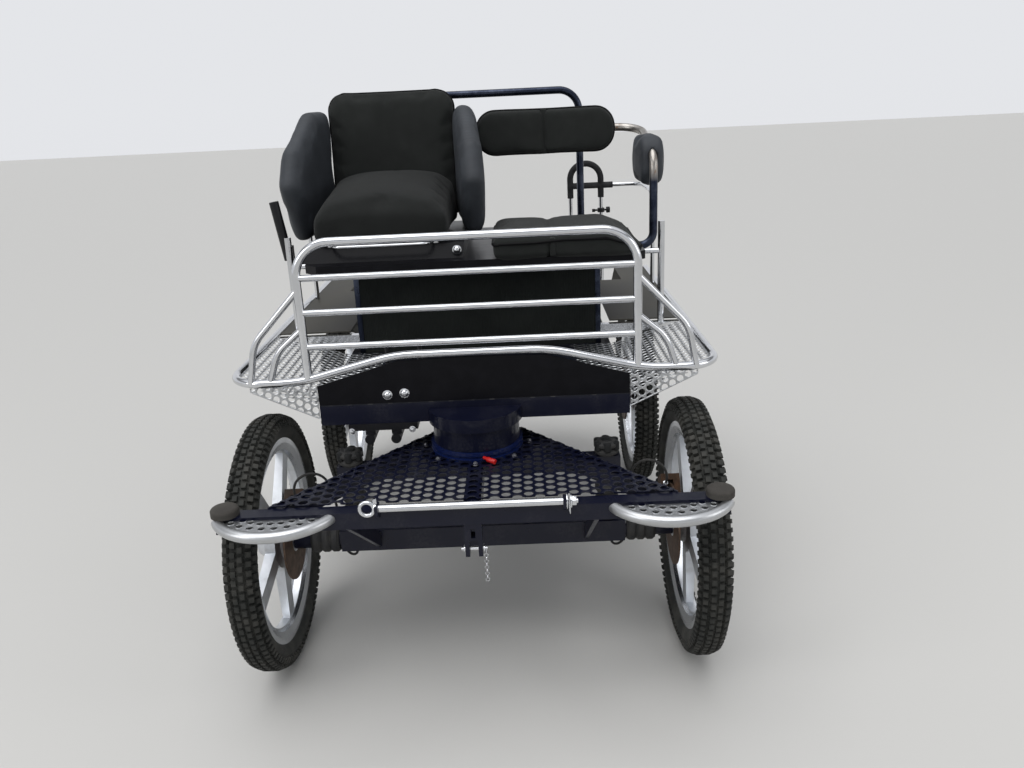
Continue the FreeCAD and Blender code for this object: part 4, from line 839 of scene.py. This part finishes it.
domeLook = {"places": ((-0.222, 0.757), (-0.178, 0.760)), "radius": 0.0105, "face": -0.0195}
domes = [part for x, z in domeLook["places"]
         for part in dome((x, frontY + domeLook["face"], z), domeLook["radius"])]
finished("panel_domes", domes, "carriage", "stainless")
mountLook = {"inset": 0.012, "down": 0.010, "wide": 0.0065}
low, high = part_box("brake_master")
mounts = []
for x in (low[0] + mountLook["inset"], high[0] - mountLook["inset"]):
    mounts += nutOn((x, low[1], high[2] - mountLook["down"]), (0, -1, 0), mountLook["wide"])
finished("master_mount_bolts", mounts, "carriage", "stainless")


# Spring units: a lobed hand knob on the top of each front one
knobLook = {"x": 0.340, "bottom": 0.5760, "top": 0.5995, "lobes": 6, "circle": 0.0255, "lobe": 0.0105,
            "cap": 0.003}


def lobedKnob(look):
    low, high, wide = (look["x"], frontY, look["bottom"]), (look["x"], frontY, look["top"]), look["circle"]
    parts = [rod("middle", low, high, wide, 32)]
    for i in range(look["lobes"]):
        turn = math.tau * (i + 0.5) / look["lobes"]
        x, y = look["x"] + wide * math.cos(turn), frontY + wide * math.sin(turn)
        parts.append(rod("lobe", (x, y, look["bottom"]), (x, y, look["top"]), look["lobe"], 16))
    parts.append(rod("cap", high, (look["x"], frontY, look["top"] + look["cap"]), wide * 0.6, 24, wide * 0.5))
    return parts


rightKnob = finished("right_spring_knob", lobedKnob(knobLook), "front_axle", "black_plastic", edge=0.0022)
dress(mirrored(rightKnob, "left_spring_knob"), "front_axle", "black_plastic")


# Driver's seat: the bright bar that frees the slide, and a domed bolt on the base
slideLook = {"half": 0.150, "rail": 0.447, "front": 0.390, "height": 1.0745, "shoulder": 0.036, "bend": 0.030,
             "radius": 0.0045, "dome": 0.011, "domeIn": 0.020, "domeDown": 0.018}


def slideBar(look):
    half, shoulder, front = look["half"], look["shoulder"], look["front"]
    leg = [(half, look["rail"]), (half, front + look["bend"]), (half - shoulder * 0.5, front + 0.004),
           (half - shoulder, front)]
    x = middle("driver_slide").x
    run = [(x - out, y) for out, y in leg] + [(x + out, y) for out, y in leg[::-1]]
    return bentBar("slide_bar", [(x, frontY + y, look["height"]) for x, y in run], look["radius"])


baseLow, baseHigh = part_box("driver_seat_base")
boltAt = (baseHigh[0] - slideLook["domeIn"], baseLow[1], baseHigh[2] - slideLook["domeDown"])
baseBolt = dome(boltAt, slideLook["dome"])
finished("slide_bar", [slideBar(slideLook)] + baseBolt, "carriage", "stainless")


# Seat box: bright angle strips down its front corners
stripLook = {"wide": 0.014, "thick": 0.0016, "end": 0.002}
(_, y, foot), (x, _, top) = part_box("seat_box")
foot, top, front = foot + stripLook["end"], top - stripLook["end"], y - stripLook["thick"]
strips = [box("strip", (x - stripLook["wide"], front, foot), (x, y, top)),
          box("strip", (x, front, foot), (x + stripLook["thick"], y + stripLook["wide"], top))]
strips += [mirrored(strip, "strip") for strip in strips]
finished("box_corner_strips", strips, "carriage", "stainless", "blue_steel", edge=0.0005)


# Groom's handle: the small clamp with its knob on the outer leg
clampLook = {"at": Vector((0.453, frontY + 1.250, 1.036)),
             "upright": (("collar", -0.008, 0.008, 0.0135, 24),),
             "across": (("screw", -0.030, 0.026, 0.0035, 12), ("knob", 0.020, 0.034, 0.0115, 16)),
             "wing": ((-0.034, -0.003, -0.007), (-0.022, 0.003, 0.005))}
clamp = turned(clampLook["at"], (0, 0, 1), clampLook["upright"])
clamp += turned(clampLook["at"], (1, 0, 0), clampLook["across"])
clamp.append(box("wing", *[clampLook["at"] + Vector(corner) for corner in clampLook["wing"]]))
finished("handle_clamp", clamp, "carriage", "black_plastic", edge=0.0015)


# Wheels: a valve through each rim
valveLook = {"out": 0.238, "angle": 58,
             "bars": (("valve", 0.004, -0.020, 0.0042, 12), ("valve_cap", -0.018, -0.030, 0.0048, 12))}
turn = math.radians(valveLook["angle"])
outward = Vector((0, math.cos(turn), math.sin(turn)))
for label, (x, y) in wheelPlaces.items():
    rim = Vector((x, y, wheelLook["axle"])) + outward * valveLook["out"]
    valve = turned(rim, outward, valveLook["bars"])
    finished(label + "_valve", valve, "wheel_" + label, "rubber", edge=0.0006)
print("fixings and small fittings made")


# Cushions and pads: each is filled as cloth, and some are then piped
def plump(node, name, look):
    pad = copied(nodes[node], name, Matrix.Identity(4))
    startEdit(pad, pick="SELECT")
    bpy.ops.mesh.remove_doubles(threshold=0.00005)
    endEdit()
    applied(pad, "REMESH", mode="VOXEL", voxel_size=look["voxel"])
    applied(pad, "SMOOTH", factor=0.5, iterations=look["even"])
    mesh = pad.data
    for point, way in zip(mesh.vertices, [v.normal.copy() for v in mesh.vertices]):
        point.co -= way * look["shrink"]
    if "grow" in look:  # room for the edges that filling draws in
        heart = middle(node)
        for point in mesh.vertices:
            point.co = heart + Vector([far * part for far, part in zip(point.co - heart, look["grow"])])
    if "crown" in look:
        crowned(node, mesh, look)
    filled(pad, look)
    applied(pad, "SUBSURF", levels=1, render_levels=1)
    bpy.ops.object.shade_smooth()
    return pad


def crowned(node, mesh, look):
    # a cushion that is high in its middle and falls to its sides and front
    (lowX, lowY, lowZ), (highX, highY, highZ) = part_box(node)
    for point in mesh.vertices:
        u = (2 * point.co.x - lowX - highX) / (highX - lowX)
        v = (2 * point.co.y - lowY - highY) / (highY - lowY)
        up = max(0.0, (point.co.z - lowZ) / (highZ - lowZ))
        front = max(0.0, -v) ** 3
        fall = look["fall"] * (abs(u) ** 3 * 0.9 + front)
        point.co.z += up * (look["crown"] * (1 - u * u) * (1 - v * v) - fall)
        point.co.x += u * look["spread"] * (1 - up * 0.4)


def filled(pad, look, frames=20):
    # the cover under pressure for a few frames, and no point moved further than the cap
    start = [v.co.copy() for v in pad.data.vertices]
    scene.frame_set(1)
    fill = pad.modifiers.new("fill", "CLOTH")
    fill.settings.use_pressure, fill.settings.uniform_pressure_force = True, look["pressure"]
    fill.settings.effector_weights.gravity = 0.0
    fill.settings.quality, fill.settings.mass = 5, 0.3
    fill.settings.tension_stiffness = fill.settings.compression_stiffness = look["stiff"]
    fill.point_cache.frame_start, fill.point_cache.frame_end = 1, frames
    for number in range(1, frames + 1):
        scene.frame_set(number)
    shaped = pad.evaluated_get(bpy.context.evaluated_depsgraph_get()).data
    ends = [v.co.copy() for v in shaped.vertices]
    pad.modifiers.remove(fill)
    scene.frame_set(1)
    for point, old, new in zip(pad.data.vertices, start, ends):
        way = new - old
        point.co = old + way * min(1.0, look["cap"] / max(way.length, 1e-6))


padLooks = {  # node: slot, how full, and the look of its filling
    "driver_back": ("charcoal_fabric", 0.8, dict(
        voxel=0.008, even=5, shrink=0.001, pressure=4.0, stiff=15.0, cap=0.014, grow=(1.065, 1.0, 1.035))),
    "driver_cushion": ("charcoal_fabric", 0.8, dict(
        own="seat_cloth", voxel=0.009, even=14, shrink=0.0, pressure=6.0, stiff=10.0, cap=0.016,
        crown=0.016, fall=0.030, spread=0.018)),
    "driver_bolsters": ("grey_leatherette", 0.9, dict(
        voxel=0.008, even=12, shrink=0.0, pressure=5.0, stiff=15.0, cap=0.010, grow=(0.978, 1.02, 1.02))),
    "passenger_cushion": ("charcoal_fabric", 0.8, dict(
        voxel=0.008, even=2, shrink=0.001, pressure=5.0, stiff=12.0, cap=0.014, grow=(1.045, 1.02, 1.0))),
    "passenger_back_pad": ("charcoal_fabric", 0.8, dict(
        voxel=0.006, even=2, shrink=0.0, pressure=4.0, stiff=15.0, cap=0.003, grow=(1.02, 1.0, 1.06))),
    "side_pad": ("grey_leatherette", 0.8, dict(
        voxel=0.006, even=3, shrink=0.0, pressure=3.0, stiff=15.0, cap=0.008)),
}
pads = {}
for node, (slot, full, look) in padLooks.items():
    pad = plump(node, node + "_filled", look)
    dress(pad, "carriage", slot, [node], look.get("own"))
    pads[node] = pad
    print("filled", node)


# Piping: a thin round welt laid on the filled pads along their edges
def welt(name, centre, wide, deep, corner, tilt, onto, wire=0.0036):
    bpy.ops.object.select_all(action="DESELECT")
    bpy.ops.mesh.primitive_plane_add(size=1, location=centre, rotation=(tilt, 0, 0), scale=(wide, deep, 1))
    loop = named(name)
    startEdit(loop, "VERT", "SELECT")
    bpy.ops.mesh.bevel(offset=corner, offset_pct=0, segments=8, affect="VERTICES")
    bpy.ops.mesh.delete(type="ONLY_FACE")
    bpy.ops.mesh.select_mode(type="EDGE")
    pickEdges(loop, lambda a, b: (a - b).length > 0.03)
    bpy.ops.mesh.subdivide(number_cuts=15)
    endEdit()
    applied(loop, "SHRINKWRAP", target=onto, wrap_method="NEAREST_SURFACEPOINT", offset=wire * 0.3)
    bpy.ops.object.convert(target="CURVE")
    loop = bpy.context.object
    loop.data.bevel_depth, loop.data.bevel_resolution = wire, 2
    bpy.ops.object.convert(target="MESH")
    loop = named(name)
    outwards(loop)
    smooth(loop, 60)
    return loop


backLook = {"lean": math.radians(8.0), "foot": (0.8153, 1.103), "half": 0.203}
back = middle("driver_back")
back.y = frontY + backLook["foot"][0] + math.sin(backLook["lean"]) * backLook["half"]
back.z = backLook["foot"][1] + math.cos(backLook["lean"]) * backLook["half"]
upright = math.pi / 2
padLow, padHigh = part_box("passenger_back_pad")
padFront = middle("passenger_back_pad")
padFront.y = padLow[1]
seatLow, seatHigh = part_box("passenger_cushion")
seatY = middle("passenger_cushion").y
weltLooks = (  # name, node, middle, width, depth, corner, tilt
    ("driver_back_welt", "driver_back", back, 0.392, 0.392, 0.052, upright - backLook["lean"]),
    ("back_pad_welt", "passenger_back_pad", padFront, 0.433, 0.118, 0.054, upright),
    ("left_cushion_welt", "passenger_cushion", (0.1385, seatY, seatHigh[2]), 0.160, 0.353, 0.014, 0.0),
    ("right_cushion_welt", "passenger_cushion", (0.3110, seatY, seatHigh[2]), 0.148, 0.353, 0.010, 0.0),
)
for name, node, *shape in weltLooks:
    dress(welt(name, *shape, pads[node]), "carriage", "black_plastic", own="piping")
# the strips of cloth that join the halves
joins = {"back_pad_join": ((0.2185, padLow[1] + 0.005, padLow[2] - 0.004),
                           (0.2375, padHigh[1] - 0.003, padHigh[2] + 0.004)),
         "cushion_join": ((0.2200, seatLow[1] + 0.010, seatLow[2] + 0.004),
                          (0.2360, seatHigh[1] - 0.010, seatHigh[2] - 0.010))}
for name, (low, high) in joins.items():
    strip = box(name, low, high)
    bevelAll(strip, 0.003, 3)
    smooth(strip, 60)
    dress(strip, "carriage", "charcoal_fabric")
print("piping laid")


# Camera, floor and light
viewLook = {"eye": (0.132, frontY - 2.100, 1.473), "lens": 30.19,
            "yaw": 0.016, "pitch": 0.325, "roll": -0.048}
bpy.ops.object.camera_add(location=viewLook["eye"])
camera = bpy.context.object
camera.data.lens = viewLook["lens"]
camera.data.sensor_width = 36.0
camera.rotation_euler = (Matrix.Rotation(viewLook["yaw"], 3, "Z")
                         @ Matrix.Rotation(math.pi / 2 - viewLook["pitch"], 3, "X")
                         @ Matrix.Rotation(viewLook["roll"], 3, "Z")).to_euler()
scene.camera = camera

bpy.ops.mesh.primitive_plane_add(size=60, location=(0, 0, -0.0005))
floor = bpy.context.object
floor.name = "paleFloor"
floorPaint = Paint("paleFloor", Roughness=0.6, Specular_IOR_Level=0.3)
floorPaint.shader.inputs["Base Color"].default_value = (0.56, 0.55, 0.53, 1.0)
floor.data.materials.append(floorPaint.material)
floor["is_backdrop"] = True

# the hall shows to the camera and in bright metal, and an even light comes from all round
world = bpy.data.worlds.new("studio")
scene.world = world
world.use_nodes = True
tree = world.node_tree
tree.nodes.clear()
hallLook = {"soft": ((0.93, 0.96, 1.0, 1.0), 0.55), "tint": (0.97, 0.985, 1.02),
            "tones": ((0.00, 0.70), (0.50, 0.80), (0.69, 0.80), (0.73, 0.22), (0.79, 0.26), (0.86, 1.00))}


def hallNode(kind, *feeds, **settings):
    # a node of the world, fed in turn by other nodes' outputs
    made = tree.nodes.new("ShaderNode" + kind)
    for name, value in settings.items():
        setattr(made, name, value)
    for socket, out in enumerate(feeds):
        tree.links.new(out, made.inputs[socket])
    return made


way, path = hallNode("TexCoord"), hallNode("LightPath")
lift = hallNode("MapRange", hallNode("SeparateXYZ", way.outputs["Generated"]).outputs[2])
lift.inputs[1].default_value, lift.inputs[2].default_value = -1.0, 1.0
hall = hallNode("ValToRGB", lift.outputs[0])
while len(hall.color_ramp.elements) < len(hallLook["tones"]):
    hall.color_ramp.elements.new(0.5)
for stop, (height, tone) in zip(hall.color_ramp.elements, hallLook["tones"]):
    stop.position, stop.color = height, (*[tone * part for part in hallLook["tint"]], 1.0)
soft, shown = hallNode("Background"), hallNode("Background", hall.outputs[0])
soft.inputs[0].default_value, soft.inputs[1].default_value = hallLook["soft"]
shown.inputs[1].default_value = 1.0
either = hallNode("Math", path.outputs["Is Camera Ray"], path.outputs["Is Glossy Ray"], operation="MAXIMUM")
third = hallNode("Math", either.outputs[0], path.outputs["Is Transmission Ray"], operation="MAXIMUM")
pick = hallNode("MixShader", third.outputs[0], soft.outputs[0], shown.outputs[0])
hallNode("OutputWorld", pick.outputs[0])
scene.view_settings.view_transform = "Standard"

bpy.ops.object.light_add(type="SUN", location=(0, 0, 4))
sun = bpy.context.object
sun.name = "ceiling"
sun.data.angle, sun.data.energy = math.radians(60), 1.7
sun.rotation_euler = (math.radians(14), math.radians(-8), 0)
lamps = {"left": ((-3.6, -3.0, 2.6), (0, 0, 0.7), 2.2, 40.0),
         "right": ((3.8, -1.6, 2.2), (0, 0, 0.7), 1.8, 22.0)}  # place, aim, size, power
for name, (place, aim, size, power) in lamps.items():
    bpy.ops.object.light_add(type="AREA", location=place)
    lamp = bpy.context.object
    lamp.name = name
    lamp.data.size, lamp.data.energy = size, power
    lamp.rotation_euler = (Vector(aim) - Vector(place)).to_track_quat("-Z", "Y").to_euler()
print("camera, floor and light set")

low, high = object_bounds()
